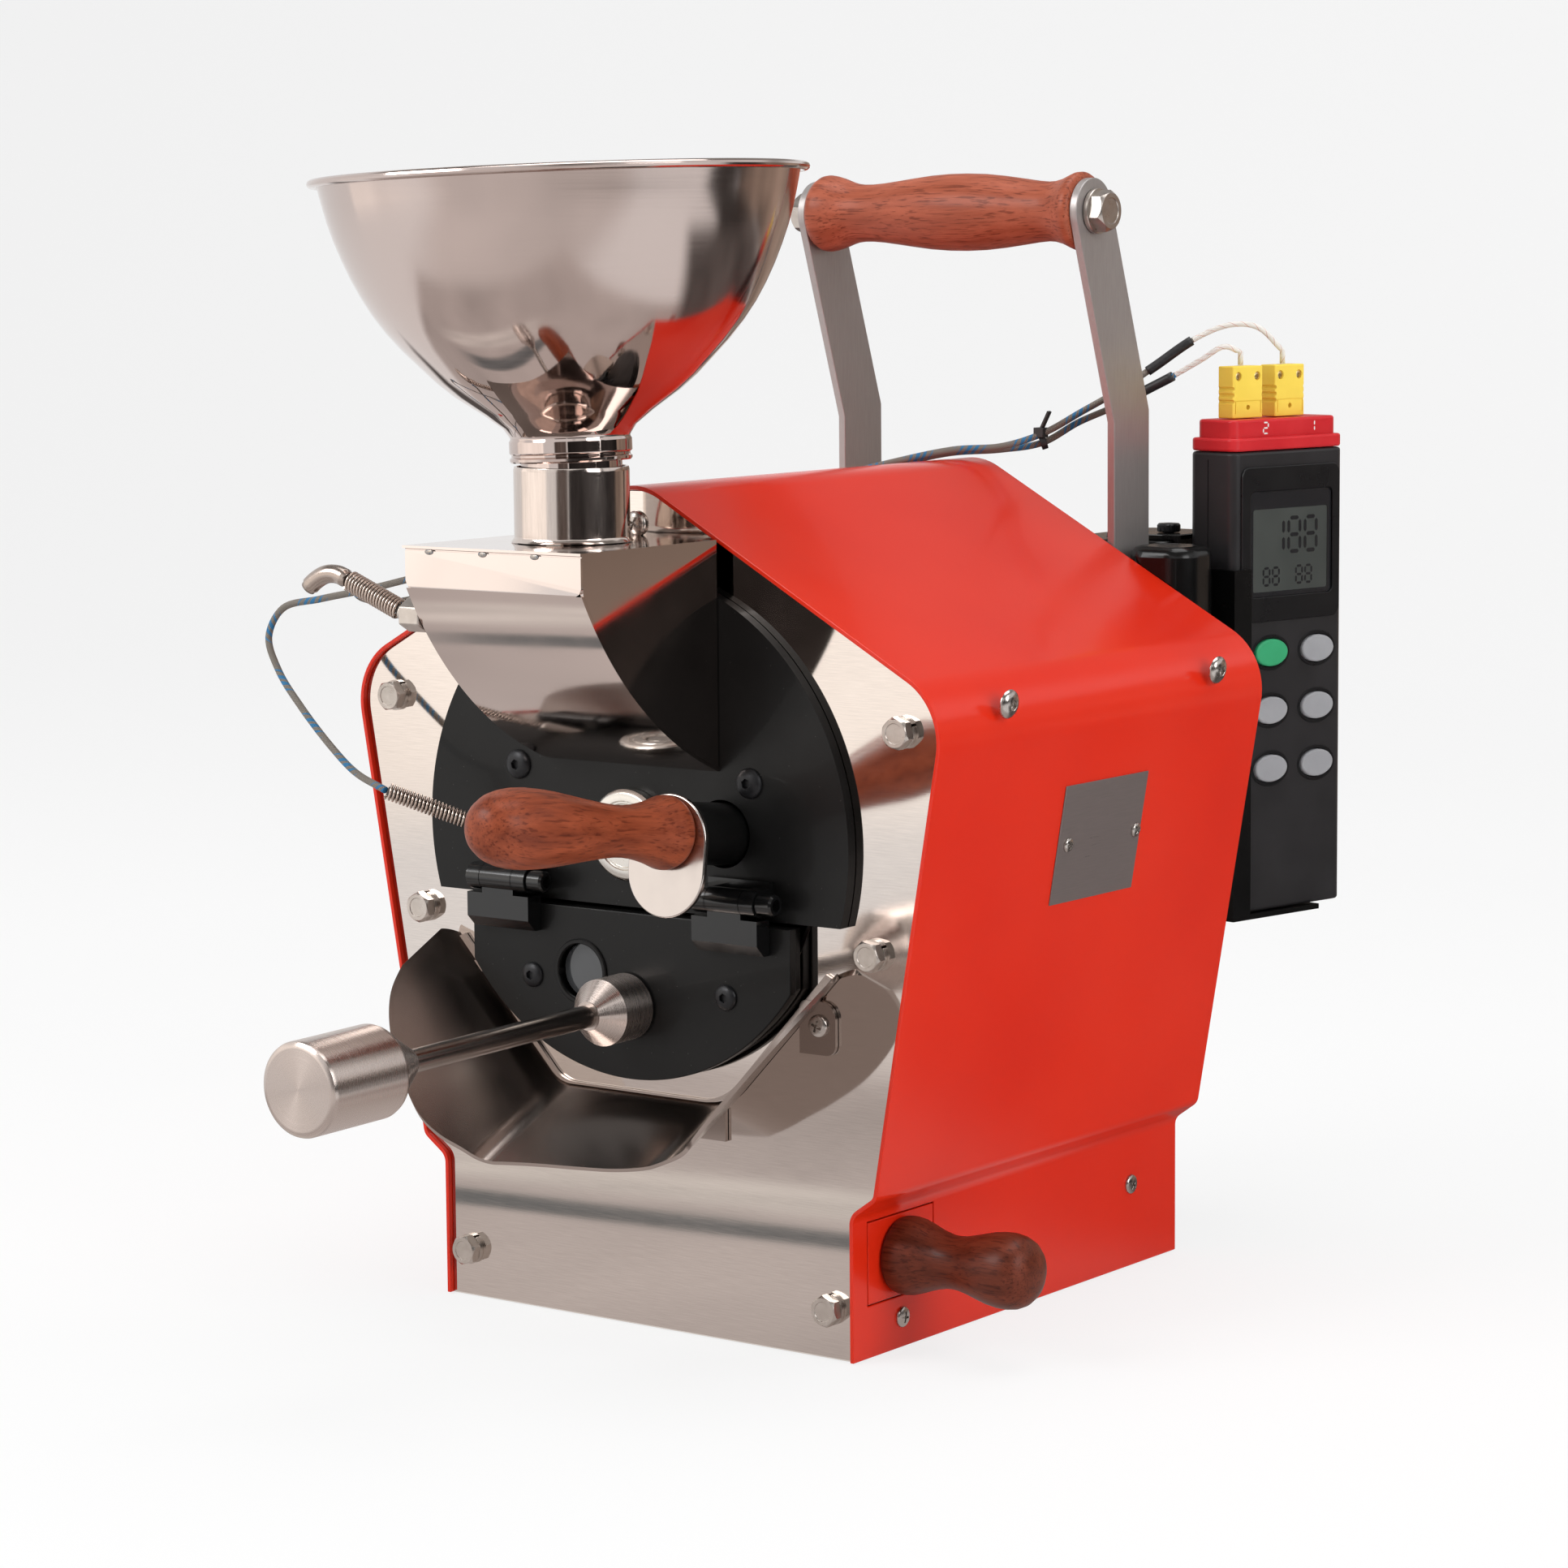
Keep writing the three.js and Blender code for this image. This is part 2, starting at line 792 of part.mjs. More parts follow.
// Trier: a guide tube through the disc, and the sampling scoop that slides and turns in it
const trier = new THREE.Group();
trier.position.set(trierX, discFace, trierZ);
trier.rotation.x = degrees(-trierTilt);
roaster.add(trier);
const outward = point(0, -1, 0);
piece(
  'trier_tube',
  tube(trierTubeRadius, trierTubeBore, point(0, trierTubeIn, 0), point(0, -trierTubeOut, 0), 28),
  blackPaint,
  trier,
);
const flangeBack = -trierTubeOut - seat;
const flangeFace = flangeBack - flangeGauge;
const flangeShape = new THREE.Shape();
flangeShape.absarc(0, flangeStraight / 2 - flangeDrop, flangeHalf, 0, Math.PI, false);
flangeShape.absarc(0, -flangeStraight / 2 - flangeDrop, flangeHalf, Math.PI, 2 * Math.PI, false);
flangeShape.closePath();
circleHole(flangeShape, 0, 0, scoopRadius + seat);
piece('trier_flange', plateXZ(flangeShape, flangeFace, flangeBack, 10), brightSteel, trier);
const handleBack = flangeFace - seat;
const handleShares = [
  [0.97, 0],
  [1, 0.02],
  [0.93, 0.06],
  [0.78, 0.13],
  [0.69, 0.22],
];
const handleProfile = handleShares.map(([r, d]) => [handleEnd * r, handleLength * d]);
const bulbShares = [
  [0.71, 0.36],
  [0.8, 0.5],
  [0.91, 0.62],
  [0.985, 0.72],
  [1, 0.79],
  [0.96, 0.87],
  [0.82, 0.94],
  [0.58, 0.98],
];
handleProfile.push([handleNeck, handleLength * 0.27]);
bulbShares.forEach(([r, d]) => handleProfile.push([handleBulb * r, handleLength * d]));
handleProfile.push([handleTip, handleLength]);
const handleClosed = [[0, 0], ...handleProfile, [0, handleLength]];
piece('trier_handle', turned(handleClosed, outward, point(0, handleBack, 0), 18), oiledWood, trier);
const scoopFront = handleBack + seat;
const scoopBack = scoopFront + scoopLength;
const scoopPipe = new THREE.Shape();
scoopPipe.absarc(0, 0, scoopRadius, Math.PI, 2 * Math.PI, false);
scoopPipe.absarc(0, 0, scoopRadius - scoopGauge, 2 * Math.PI, Math.PI, true);
scoopPipe.closePath();
const scoopPlugRod = cylinder(scoopRadius, point(0, scoopFront, 0), point(0, scoopFront + scoopPlug, 0), 28);
const scoopTrough = plateXZ(scoopPipe, scoopFront + scoopPlug / 2, scoopBack, 14);
piece('trier_scoop', join(scoopPlugRod, scoopTrough), brushedSteel, trier);

// Hopper box: side walls, top and a curved front sheet, open at the back to the disc
const hopperBack = discFace - seat;
const sweepSteps = 8;
function sweepPoints(inset) {
  const top = new THREE.Vector2(-hopperReach + inset, hopperTop - hopperLip);
  const foot = new THREE.Vector2(hopperBack, hopperFoot + inset);
  const middle = top.clone().add(foot).multiplyScalar(1 / 2);
  const chord = foot.clone().sub(top);
  const rise = Math.sqrt((hopperSweep - inset) ** 2 - chord.lengthSq() / 4);
  const centre = middle.add(new THREE.Vector2(-chord.y, chord.x).normalize().multiplyScalar(rise));
  const start = Math.atan2(top.y - centre.y, top.x - centre.x);
  const end = Math.atan2(foot.y - centre.y, foot.x - centre.x);
  const span = THREE.MathUtils.euclideanModulo(end - start, 2 * Math.PI);
  return Array.from({ length: sweepSteps + 1 }, (_, k) => {
    const angle = start + (span * k) / sweepSteps;
    const radius = hopperSweep - inset;
    return new THREE.Vector2(centre.x + radius * Math.cos(angle), centre.y + radius * Math.sin(angle));
  });
}
const hopperSide = new THREE.Shape([
  new THREE.Vector2(hopperBack, hopperTop),
  new THREE.Vector2(-hopperReach, hopperTop),
  ...sweepPoints(0),
]);
const hopperInner = new THREE.Shape([
  new THREE.Vector2(hopperBack + overrun, hopperTop - hopperGauge),
  new THREE.Vector2(-hopperReach + hopperGauge, hopperTop - hopperGauge),
  ...sweepPoints(hopperGauge),
  new THREE.Vector2(hopperBack + overrun, hopperFoot + hopperGauge),
]);
const hopperTongue = block(
  -tongueHalf,
  tongueHalf,
  hopperBack - overrun,
  discBack,
  hopperTop - hopperGauge,
  hopperTop,
);
const hopperMouth = cylinder(
  tubeRadius - tubeGauge,
  point(0, tubeY, hopperTop - hopperGauge - overrun),
  point(0, tubeY, hopperTop + overrun),
);
const hopperShell = cut(
  plateYZ(hopperSide, -hopperHalf, hopperHalf),
  plateYZ(hopperInner, -hopperHalf + hopperGauge, hopperHalf - hopperGauge),
  hopperMouth,
);
piece('hopper_box', join(hopperShell, hopperTongue), brightSteel);
const tubeTop = hopperTop + seat + tubeLength;
piece(
  'inlet_tube',
  tube(tubeRadius, tubeRadius - tubeGauge, point(0, tubeY, hopperTop + seat), point(0, tubeY, tubeTop), 30),
  brightSteel,
);

// Funnel: one spun bowl with a collar and a spigot that drops into the inlet tube
const funnelSeat = tubeTop + funnelStand;
const funnel = new THREE.Group();
funnel.position.set(0, tubeY, funnelSeat);
funnel.rotation.y = degrees(-funnelTilt);
roaster.add(funnel);
const bowlShares = [
  [0.28, 0.035],
  [0.55, 0.226],
  [0.747, 0.426],
  [0.88, 0.64],
  [1, 1],
];
const bowlOuter = bowlShares.map(([r, h]) => [bowlRadius * r, collarHeight + bowlHeight * h]);
const bowlInner = bowlShares.map(([r, h]) => [
  bowlRadius * r - bowlGauge,
  collarHeight + bowlHeight * h + bowlGauge * (1 - h),
]);
const rimZ = collarHeight + bowlHeight;
const spigotBore = spigotRadius - spigotGauge;
const funnelProfile = [
  [spigotBore, -spigotLength],
  [spigotRadius, -spigotLength],
  [spigotRadius, 0],
  [collarRadius, 0],
  [collarRadius, collarHeight],
  ...bowlOuter,
  [bowlRadius + beadWidth, rimZ],
  [bowlRadius + beadWidth, rimZ + beadHeight],
  [bowlRadius, rimZ + beadHeight],
  ...bowlInner.reverse(),
  [spigotBore, collarHeight + bowlGauge],
  [spigotBore, -spigotLength],
];
piece('funnel', turned(funnelProfile, alongZ, point(0, 0, 0), 30), brightSteel, funnel);

// Discharge chute: a bottom panel and two flanks, bent from one sheet
const slope = degrees(chuteSlope);
const forward = point(0, -Math.cos(slope), -Math.sin(slope));
const flankShares = [
  [1, 0.06],
  [1.03, 0.25],
  [0.985, 0.54],
  [0.92, 0.69],
  [0.765, 0.84],
  [0.52, 0.96],
  [0.38, 1],
  [0.27, 0.99],
  [0.12, 0.9],
];
function chutePanel(corner, across, outline) {
  const under = new THREE.Vector3().crossVectors(forward, across).normalize();
  if (under.z > 0) under.negate();
  return placed(prism(outline, chuteGauge), across, forward, under, corner);
}
const chuteDepth = chuteGauge + overrun;
const bottomOutline = shapeOf([
  [0, -chuteDepth],
  [2 * chuteHalf, -chuteDepth],
  [2 * chuteHalf, chuteReach],
  [0, chuteReach],
]);
function flank(side) {
  const spread = degrees(chuteSpread);
  const across = point(side * Math.cos(spread), 0, Math.sin(spread));
  const rim = flankShares.map(([s, u]) => new THREE.Vector2(flankHeight * s, flankReach * u));
  const curve = new THREE.SplineCurve([...rim, new THREE.Vector2(0, chuteReach)]);
  const points = [
    new THREE.Vector2(-chuteGauge / 4, -chuteDepth),
    new THREE.Vector2(flankHeight, -chuteDepth),
    ...curve.getPoints(20),
    new THREE.Vector2(-chuteGauge / 4, chuteReach),
  ];
  return chutePanel(point(side * chuteHalf, 0, chuteTop), across, new THREE.Shape(points));
}
const chuteBottom = chutePanel(point(-chuteHalf, 0, chuteTop), alongX, bottomOutline);
const chuteWaste = block(
  -shoulderHalf,
  shoulderHalf,
  -seat,
  housingDepth,
  0,
  ridgeTop,
);
piece('chute', cut(join(chuteBottom, flank(-1), flank(1)), chuteWaste), brightSteel);

// Discharge door with a sight glass
const doorLean = Math.acos(doorHalf / doorRadius);
const doorShape = new THREE.Shape();
doorShape.moveTo(-doorHalf, doorTop);
doorShape.absarc(0, drumAxisZ, doorRadius, Math.PI + doorLean, 2 * Math.PI - doorLean, false);
doorShape.lineTo(doorHalf, doorTop);
doorShape.closePath();
const glassHole = cylinder(
  glassRadius,
  point(glassX, -doorFace - overrun, glassZ),
  point(glassX, overrun, glassZ),
  24,
);
piece('door_plate', cut(plateXZ(doorShape, -doorFace, -doorBack, 24), glassHole), blackPaint);
const glassY = -(doorFace + doorBack) / 2;
piece(
  'sight_glass',
  cylinder(
    glassRadius - seat,
    point(glassX, glassY - glassGauge / 2, glassZ),
    point(glassX, glassY + glassGauge / 2, glassZ),
    24,
  ),
  finish(0x9aa0a4, 0.1, 0),
);

// Hinges: a leaf on the door with the middle knuckle, a bracket on the disc with the pin
function hinge(side, name) {
  const leafX = side * hingeX;
  const middleX = leafX - leafShift;
  const middleStart = middleX - middleKnuckle / 2;
  const middleEnd = middleX + middleKnuckle / 2;
  const leafBack = -doorFace - seat;
  const leafFace = leafBack - leafProud;
  const body = shapeOf([
    [leafBack, leafBottom],
    [leafBack, leafTop],
    [leafFace, leafTop],
    [leafFace, leafBottom + leafChamfer],
    [leafFace + leafChamfer, leafBottom],
  ]);
  const neck = block(middleStart, middleEnd, leafFace, leafBack, leafTop - overrun, pinZ);
  const knuckle = cylinder(knuckleRadius, point(middleStart, pinY, pinZ), point(middleEnd, pinY, pinZ), 20);
  const bore = cylinder(
    pinRadius + knuckleGap,
    point(middleStart - overrun, pinY, pinZ),
    point(middleEnd + overrun, pinY, pinZ),
    16,
  );
  const leaf = join(plateYZ(body, leafX - leafHalf, leafX + leafHalf), neck, knuckle);
  piece(`door_leaf_${name}`, cut(leaf, bore), blackPaint);
  const leftOuter = middleStart - knuckleGap - sideKnuckle;
  const rightOuter = middleEnd + knuckleGap + sideKnuckle;
  const footBack = discFace - seat;
  const footFace = footBack - bracketGauge;
  const ears = [[leftOuter, leftOuter + sideKnuckle], [rightOuter - sideKnuckle, rightOuter]].flatMap(
    ([x0, x1]) => [
      cylinder(knuckleRadius, point(x0, pinY, pinZ), point(x1, pinY, pinZ), 20),
      block(x0, x1, pinY, footFace, bracketBottom, pinZ + knuckleRadius),
    ],
  );
  const foot = block(leftOuter, rightOuter, footFace - overrun / 4, footBack, bracketBottom, bracketTop);
  const headEnd = rightOuter + pinHeadLength;
  const pin = [
    cylinder(pinRadius, point(leftOuter, pinY, pinZ), point(headEnd, pinY, pinZ), 16),
    cylinder(pinHead, point(rightOuter - overrun, pinY, pinZ), point(headEnd, pinY, pinZ), 20),
  ];
  piece(`hinge_bracket_${name}`, join(foot, ...ears, ...pin), blackPaint);
}
hinge(-1, 'left');
hinge(1, 'right');

// Door lever: a coned boss and rod, with a turned weight on its end
const lever = new THREE.Group();
lever.position.set(0, -doorFace - seat, leverZ);
lever.rotation.x = degrees(leverDroop);
roaster.add(lever);
const leverTip = coneTip * Math.tan(degrees(leverDroop)) + seat;
const rodProfile = [
  [0, leverTip / 2],
  [bossRadius, leverTip / 2],
  [bossRadius, bossLength],
  [coneTip, bossLength + bossCone],
  [rodRadius, bossLength + bossCone],
  [rodRadius, rodEnd],
  [0, rodEnd],
];
piece('lever_rod', turned(rodProfile, outward, point(0, 0, 0), 28), brushedSteel, lever);
const weightStart = rodEnd + seat;
const weightProfile = [
  [0, 0],
  [weightNeck, 0],
  [weightShoulder, weightCone - weightChamfer],
  [weightRadius, weightCone + weightChamfer],
  [weightRadius, weightCone + weightLength - weightChamfer],
  [weightRadius - weightChamfer, weightCone + weightLength],
  [0, weightCone + weightLength],
];
piece('lever_weight', turned(weightProfile, outward, point(0, -weightStart, 0), 24), brushedSteel, lever);

// Chaff drawer: a tray with its painted front, a turned knob, and the fixed runner
const traySide = baseHalf - coverGauge;
const trayStart = traySide - trayLength;
const trayOuter = block(
  trayStart,
  traySide,
  drawerFront + trayInset,
  drawerRear - trayInset,
  drawerBottom + trayInset,
  drawerTop - trayInset,
);
const trayHollow = block(
  trayStart + trayGauge,
  traySide - trayGauge,
  drawerFront + trayInset + trayGauge,
  drawerRear - trayInset - trayGauge,
  drawerBottom + trayInset + trayGauge,
  drawerTop,
);
const drawerFace = block(traySide, baseHalf, drawerFront, drawerRear, drawerBottom, drawerTop);
piece('drawer_tray', join(cut(trayOuter, trayHollow), drawerFace), redPaint);
const drawerMidY = (drawerFront + drawerRear) / 2;
const drawerMidZ = (drawerBottom + drawerTop) / 2;
const knobShares = [
  [0.94, 0],
  [1, 0.05],
  [0.98, 0.12],
  [0.82, 0.22],
];
const knobProfile = [[0, 0]];
knobShares.forEach(([r, d]) => knobProfile.push([knobBase * r, knobLength * d]));
knobProfile.push([knobNeck, knobLength * 0.36]);
[[0.76, 0.5], [0.9, 0.63], [1, 0.78], [0.94, 0.89], [0.68, 0.97], [0.3, 1]].forEach(([r, d]) => {
  knobProfile.push([knobBulb * r, knobLength * d]);
});
knobProfile.push([0, knobLength]);
piece('drawer_knob', turned(knobProfile, alongX, point(baseHalf + seat, drawerMidY, drawerMidZ), 18), oiledWood);
const runnerFront = drawerFront + trayInset - drawerGap - runnerGauge;
const runnerRear = drawerRear - trayInset + drawerGap + runnerGauge;
const runnerBed = drawerBottom + trayInset - drawerGap;
const runnerEnd = traySide - 2 * runnerLegs;
const runnerParts = [
  block(trayStart, runnerEnd, runnerFront, runnerRear, runnerBed - runnerGauge, runnerBed),
  block(trayStart, runnerEnd, runnerFront, runnerFront + runnerGauge, runnerBed - runnerGauge, runnerBed + runnerHeight),
  block(trayStart, runnerEnd, runnerRear - runnerGauge, runnerRear, runnerBed - runnerGauge, runnerBed + runnerHeight),
];
[trayStart, runnerEnd - runnerLegs].forEach((x) => {
  runnerParts.push(block(x, x + runnerLegs, runnerFront, runnerRear, frameGauge + seat, runnerBed));
});
piece('drawer_runner', join(...runnerParts), brushedSteel);

// Carrying handle: two flat straps with foot plates, a wooden grip and its through bolt
const halfStrap = strapWidth / 2;
const strapMidY = housingDepth + strapBehind + halfStrap;
const gripY = strapMidY - gripForward;
const leanUp = new THREE.Vector2(gripY - strapMidY, gripZ - strapKink).normalize();
const leanSide = new THREE.Vector2(leanUp.y, -leanUp.x);
const kinkMitre = Math.tan(Math.atan2(-leanUp.x, leanUp.y) / 2) * halfStrap;
const strapTop = [];
const topSteps = 10;
for (let k = 0; k <= topSteps; k += 1) {
  const angle = (Math.PI * k) / topSteps;
  const reach = leanSide.clone().multiplyScalar(halfStrap * Math.cos(angle));
  reach.addScaledVector(leanUp, halfStrap * Math.sin(angle));
  strapTop.push(new THREE.Vector2(gripY, gripZ).add(reach));
}
const strapShape = new THREE.Shape([
  new THREE.Vector2(strapMidY - halfStrap, strapFoot),
  new THREE.Vector2(strapMidY + halfStrap, strapFoot),
  new THREE.Vector2(strapMidY + halfStrap, strapKink + kinkMitre),
  ...strapTop,
  new THREE.Vector2(strapMidY - halfStrap, strapKink - kinkMitre),
]);
circleHole(strapShape, gripY, gripZ, gripBore);
const strapInner = strapOuter - strapGauge;
for (const [name, side] of [['left', -1], ['right', 1]]) {
  const x0 = Math.min(side * strapInner, side * strapOuter);
  const x1 = Math.max(side * strapInner, side * strapOuter);
  const plateEnd = side * (strapOuter - footPlateWidth);
  const plate = block(
    Math.min(plateEnd, side * strapOuter),
    Math.max(plateEnd, side * strapOuter),
    guardFront,
    guardFront + footPlateGauge,
    strapFoot,
    footPlateTop,
  );
  piece(`strap_${name}`, join(plateYZ(strapShape, x0, x1, 8), plate), brushedSteel);
}
const gripHalf = strapInner - seat;
const gripShares = [
  ['end', 0.93, 0],
  ['end', 1, 0.02],
  ['end', 0.93, 0.07],
  ['neck', 1, 0.16],
  ['neck', 1, 0.24],
  ['belly', 0.93, 0.38],
  ['belly', 1, 0.52],
  ['belly', 0.95, 0.66],
  ['neck', 1.02, 0.84],
  ['end', 0.93, 0.95],
  ['end', 1, 0.985],
  ['end', 0.93, 1],
];
const gripSizes = { end: gripEnd, neck: gripNeck, belly: gripBelly };
const gripProfile = gripShares.map(([where, r, d]) => [gripSizes[where] * r, 2 * gripHalf * d]);
const gripClosed = [[gripBore, 0], ...gripProfile, [gripBore, 2 * gripHalf], [gripBore, 0]];
piece('grip', turned(gripClosed, alongX, point(-gripHalf, gripY, gripZ), 18), oiledWood);
function hexagon(flats) {
  const across = flats / Math.sqrt(3);
  return new THREE.Shape(Array.from({ length: 6 }, (_, i) => {
    const angle = (Math.PI * i) / 3;
    return new THREE.Vector2(across * Math.cos(angle), across * Math.sin(angle));
  }));
}
const washerSeat = strapOuter + seat;
const boltParts = [
  cylinder(boltRadius, point(-washerSeat - washerGauge, gripY, gripZ), point(washerSeat + washerGauge, gripY, gripZ), 20),
];
for (const side of [-1, 1]) {
  const washerOut = side * (washerSeat + washerGauge);
  boltParts.push(cylinder(washerRadius, point(side * washerSeat, gripY, gripZ), point(washerOut, gripY, gripZ), 20));
  const headOut = washerOut + side * boltHeadHeight;
  const head = plateYZ(hexagon(boltHeadFlats), Math.min(washerOut, headOut), Math.max(washerOut, headOut));
  boltParts.push(head.translate(-side * overrun / 4, gripY, gripZ));
}
piece('grip_bolt', join(...boltParts), brightSteel);

// Meter bracket: a plate on the motor box with a bent leg, and its thumb screw
const bracketFrontY = motorBoxFront + bracketBehind;
const bracketRearY = bracketFrontY + bracketWidth;
const clampY = bracketFrontY + clampBehind;
const bracketSeat = boxTop + seat;
const bracketTopZ = bracketSeat + bracketPlate;
const legStart = bracketRight - bracketPlate;
const bracketParts = [
  block(bracketLeft, bracketRight, bracketFrontY, bracketRearY, bracketSeat, bracketTopZ),
  block(legStart, bracketRight, bracketFrontY, bracketRearY, bracketTopZ - bracketLeg, bracketTopZ),
];
const shankHole = cylinder(
  clampShank + seat,
  point(clampX, clampY, bracketSeat - overrun),
  point(clampX, clampY, bracketTopZ + overrun),
  16,
);
piece('meter_bracket', cut(join(...bracketParts), shankHole), blackPaint);
const clampProfile = [
  [0, -clampShankLength],
  [clampShank, -clampShankLength],
  [clampShank, 0],
  [clampRadius, 0],
  [clampRadius, clampHeight],
  [0, clampHeight],
];
piece('clamp_screw', turned(clampProfile, alongZ, point(clampX, clampY, bracketTopZ + seat), 20), blackPlastic);

// Thermometer: its own frame has X out of the screen face, Y across it, Z up
const turnBy = degrees(meterTurn);
const holsterOut = holsterWall + seat;
const meter = new THREE.Group();
meter.position.set(
  bracketRight + seat + (meterThick + holsterOut) * Math.cos(turnBy) + holsterOut * Math.sin(turnBy),
  controlBack + seat + holsterOut * (Math.sin(turnBy) + Math.cos(turnBy)),
  meterFoot,
);
meter.rotation.z = -turnBy;
roaster.add(meter);
const meterCorners = [
  [-meterThick, 0, meterCorner],
  [0, 0, meterCorner],
  [0, meterWidth, meterCorner],
  [-meterThick, meterWidth, meterCorner],
];
const meterOutline = new THREE.Shape(roundedOutline(meterCorners, 0, 3));
const buttonPlaces = [
  ['power', buttonNearY, buttonTopZ],
  ['range', buttonFarY, buttonTopZ],
  ['time', buttonNearY, buttonMidZ],
  ['hold', buttonFarY, buttonMidZ],
  ['record', buttonNearY, buttonLowZ],
  ['unit', buttonFarY, buttonLowZ],
];
function ellipse(halfY, halfZ) {
  return new THREE.Shape().absellipse(0, 0, halfY, halfZ, 0, 2 * Math.PI, false);
}
const pockets = buttonPlaces.map(([, y, z]) => {
  const pocket = ellipse(buttonHalfY + buttonClear, buttonHalfZ + buttonClear);
  return plateYZ(pocket, -buttonDepth - buttonTravel - buttonClear, overrun, 6).translate(0, y, z);
});
const meterShell = plateXY(meterOutline, 0, meterBodyTop - seat);
piece('meter_body', cut(meterShell, ...pockets), blackPlastic, meter);
const capOuter = plateXY(meterOutline, meterBodyTop, meterBodyTop + capBeadTop);
const capCorners = meterCorners.map(([x, y, r]) => [x, y, r]);
const capUpper = new THREE.Shape(roundedOutline(capCorners, capInset, 3));
const capCrown = plateXY(capUpper, meterBodyTop + capBeadTop - overrun, meterCapTop);
piece('meter_cap', join(capOuter, capCrown), finish(0xc0242a, 0.4, 0), meter);
buttonPlaces.forEach(([name, y, z]) => {
  const cap = plateYZ(ellipse(buttonHalfY, buttonHalfZ), -buttonDepth, buttonProud, 6).translate(0, y, z);
  const colour = name === 'power' ? finish(0x3fb07a, 0.5, 0) : finish(0x77787a, 0.5, 0);
  piece(`button_${name}`, cap, colour, meter);
});
const yellowPlastic = finish(0xf2cf2e, 0.45, 0);
for (const [name, y] of [['near', plugNearY], ['far', plugFarY]]) {
  const half = plugWidth / 2;
  const shoulder = half * (1 - plugShoulderShare / 4);
  const shoulderZ = plugHeight * plugShoulderShare;
  const outline = shapeOf([
    [-half, 0],
    [half, 0],
    [half, shoulderZ],
    [shoulder, shoulderZ],
    [shoulder, plugHeight],
    [-shoulder, plugHeight],
    [-shoulder, shoulderZ],
    [-half, shoulderZ],
  ]);
  const plug = plateYZ(outline, plugX - plugThick / 2, plugX + plugThick / 2);
  piece(`plug_${name}`, plug.translate(0, y, meterCapTop + seat), yellowPlastic, meter);
}

// Holster: a back wall, a side wall with a lip over the screen face, and a shelf below
const backOut = -meterThick - holsterOut;
const lipOut = holsterOut;
const holsterShelf = block(backOut, lipOut, -holsterOut, meterWidth * holsterBackShare, -holsterOut, -seat);
const holsterSide = block(backOut, lipOut, -holsterOut, -seat, -holsterOut, holsterHeight);
const holsterBack = block(
  backOut,
  backOut + holsterWall,
  -holsterOut,
  meterWidth * holsterBackShare,
  -holsterOut,
  holsterHeight,
);
const holsterFace = block(lipOut - holsterWall, lipOut, -holsterOut, holsterLip, -holsterOut, holsterHeight);
piece('meter_holster', join(holsterShelf, holsterSide, holsterBack, holsterFace), blackPlastic, meter);

// Tubes along a list of points, with flat ends
function wire(points, radius, sides) {
  const rings = [];
  let normal = null;
  points.forEach((p, i) => {
    const before = points[Math.max(i - 1, 0)];
    const after = points[Math.min(i + 1, points.length - 1)];
    const along = after.clone().sub(before).normalize();
    if (normal === null) {
      normal = new THREE.Vector3().crossVectors(along, Math.abs(along.z) > Math.SQRT1_2 ? alongX : alongZ);
    }
    normal.addScaledVector(along, -normal.dot(along)).normalize();
    const side = new THREE.Vector3().crossVectors(along, normal);
    for (let k = 0; k < sides; k += 1) {
      const angle = (2 * Math.PI * k) / sides;
      const out = normal.clone().multiplyScalar(Math.cos(angle)).addScaledVector(side, Math.sin(angle));
      rings.push(p.clone().addScaledVector(out, radius));
    }
  });
  const index = [];
  const last = points.length - 1;
  for (let i = 0; i < last; i += 1) {
    for (let k = 0; k < sides; k += 1) {
      const a = i * sides + k;
      const b = i * sides + ((k + 1) % sides);
      index.push(a, b, b + sides, a, b + sides, a + sides);
    }
  }
  for (let k = 1; k < sides - 1; k += 1) {
    index.push(0, k + 1, k);
    index.push(last * sides, last * sides + k, last * sides + k + 1);
  }
  const geometry = new THREE.BufferGeometry().setFromPoints(rings);
  geometry.setIndex(index);
  return geometry;
}

// A close-wound sleeve spring from one point to another, its ends run out along the axis
const curlSteps = 8;
const wireSides = 5;
function spring(name, from, to, radius, turns) {
  const axis = to.clone().sub(from);
  const length = axis.length() - 4 * springWire;
  axis.normalize();
  const first = new THREE.Vector3().crossVectors(axis, alongZ).normalize();
  const second = new THREE.Vector3().crossVectors(axis, first);
  const centres = [];
  const at = (distance, angle) => from.clone()
    .addScaledVector(axis, distance)
    .addScaledVector(first, radius * Math.cos(angle))
    .addScaledVector(second, radius * Math.sin(angle));
  centres.push(at(0, 0));
  const steps = turns * curlSteps;
  for (let i = 0; i <= steps; i += 1) {
    centres.push(at(2 * springWire + (length * i) / steps, (2 * Math.PI * i) / curlSteps));
  }
  centres.push(at(length + 4 * springWire, (2 * Math.PI * steps) / curlSteps));
  let least = Infinity;
  for (let i = 0; i < centres.length; i += 1) {
    for (let j = i + curlSteps - 2; j < centres.length; j += 1) {
      least = Math.min(least, centres[i].distanceTo(centres[j]));
    }
  }
  console.log(`${name}: least gap between curls ${(least - 2 * springWire).toFixed(3)}`);
  piece(name, wire(centres, springWire, wireSides), brushedSteel);
}

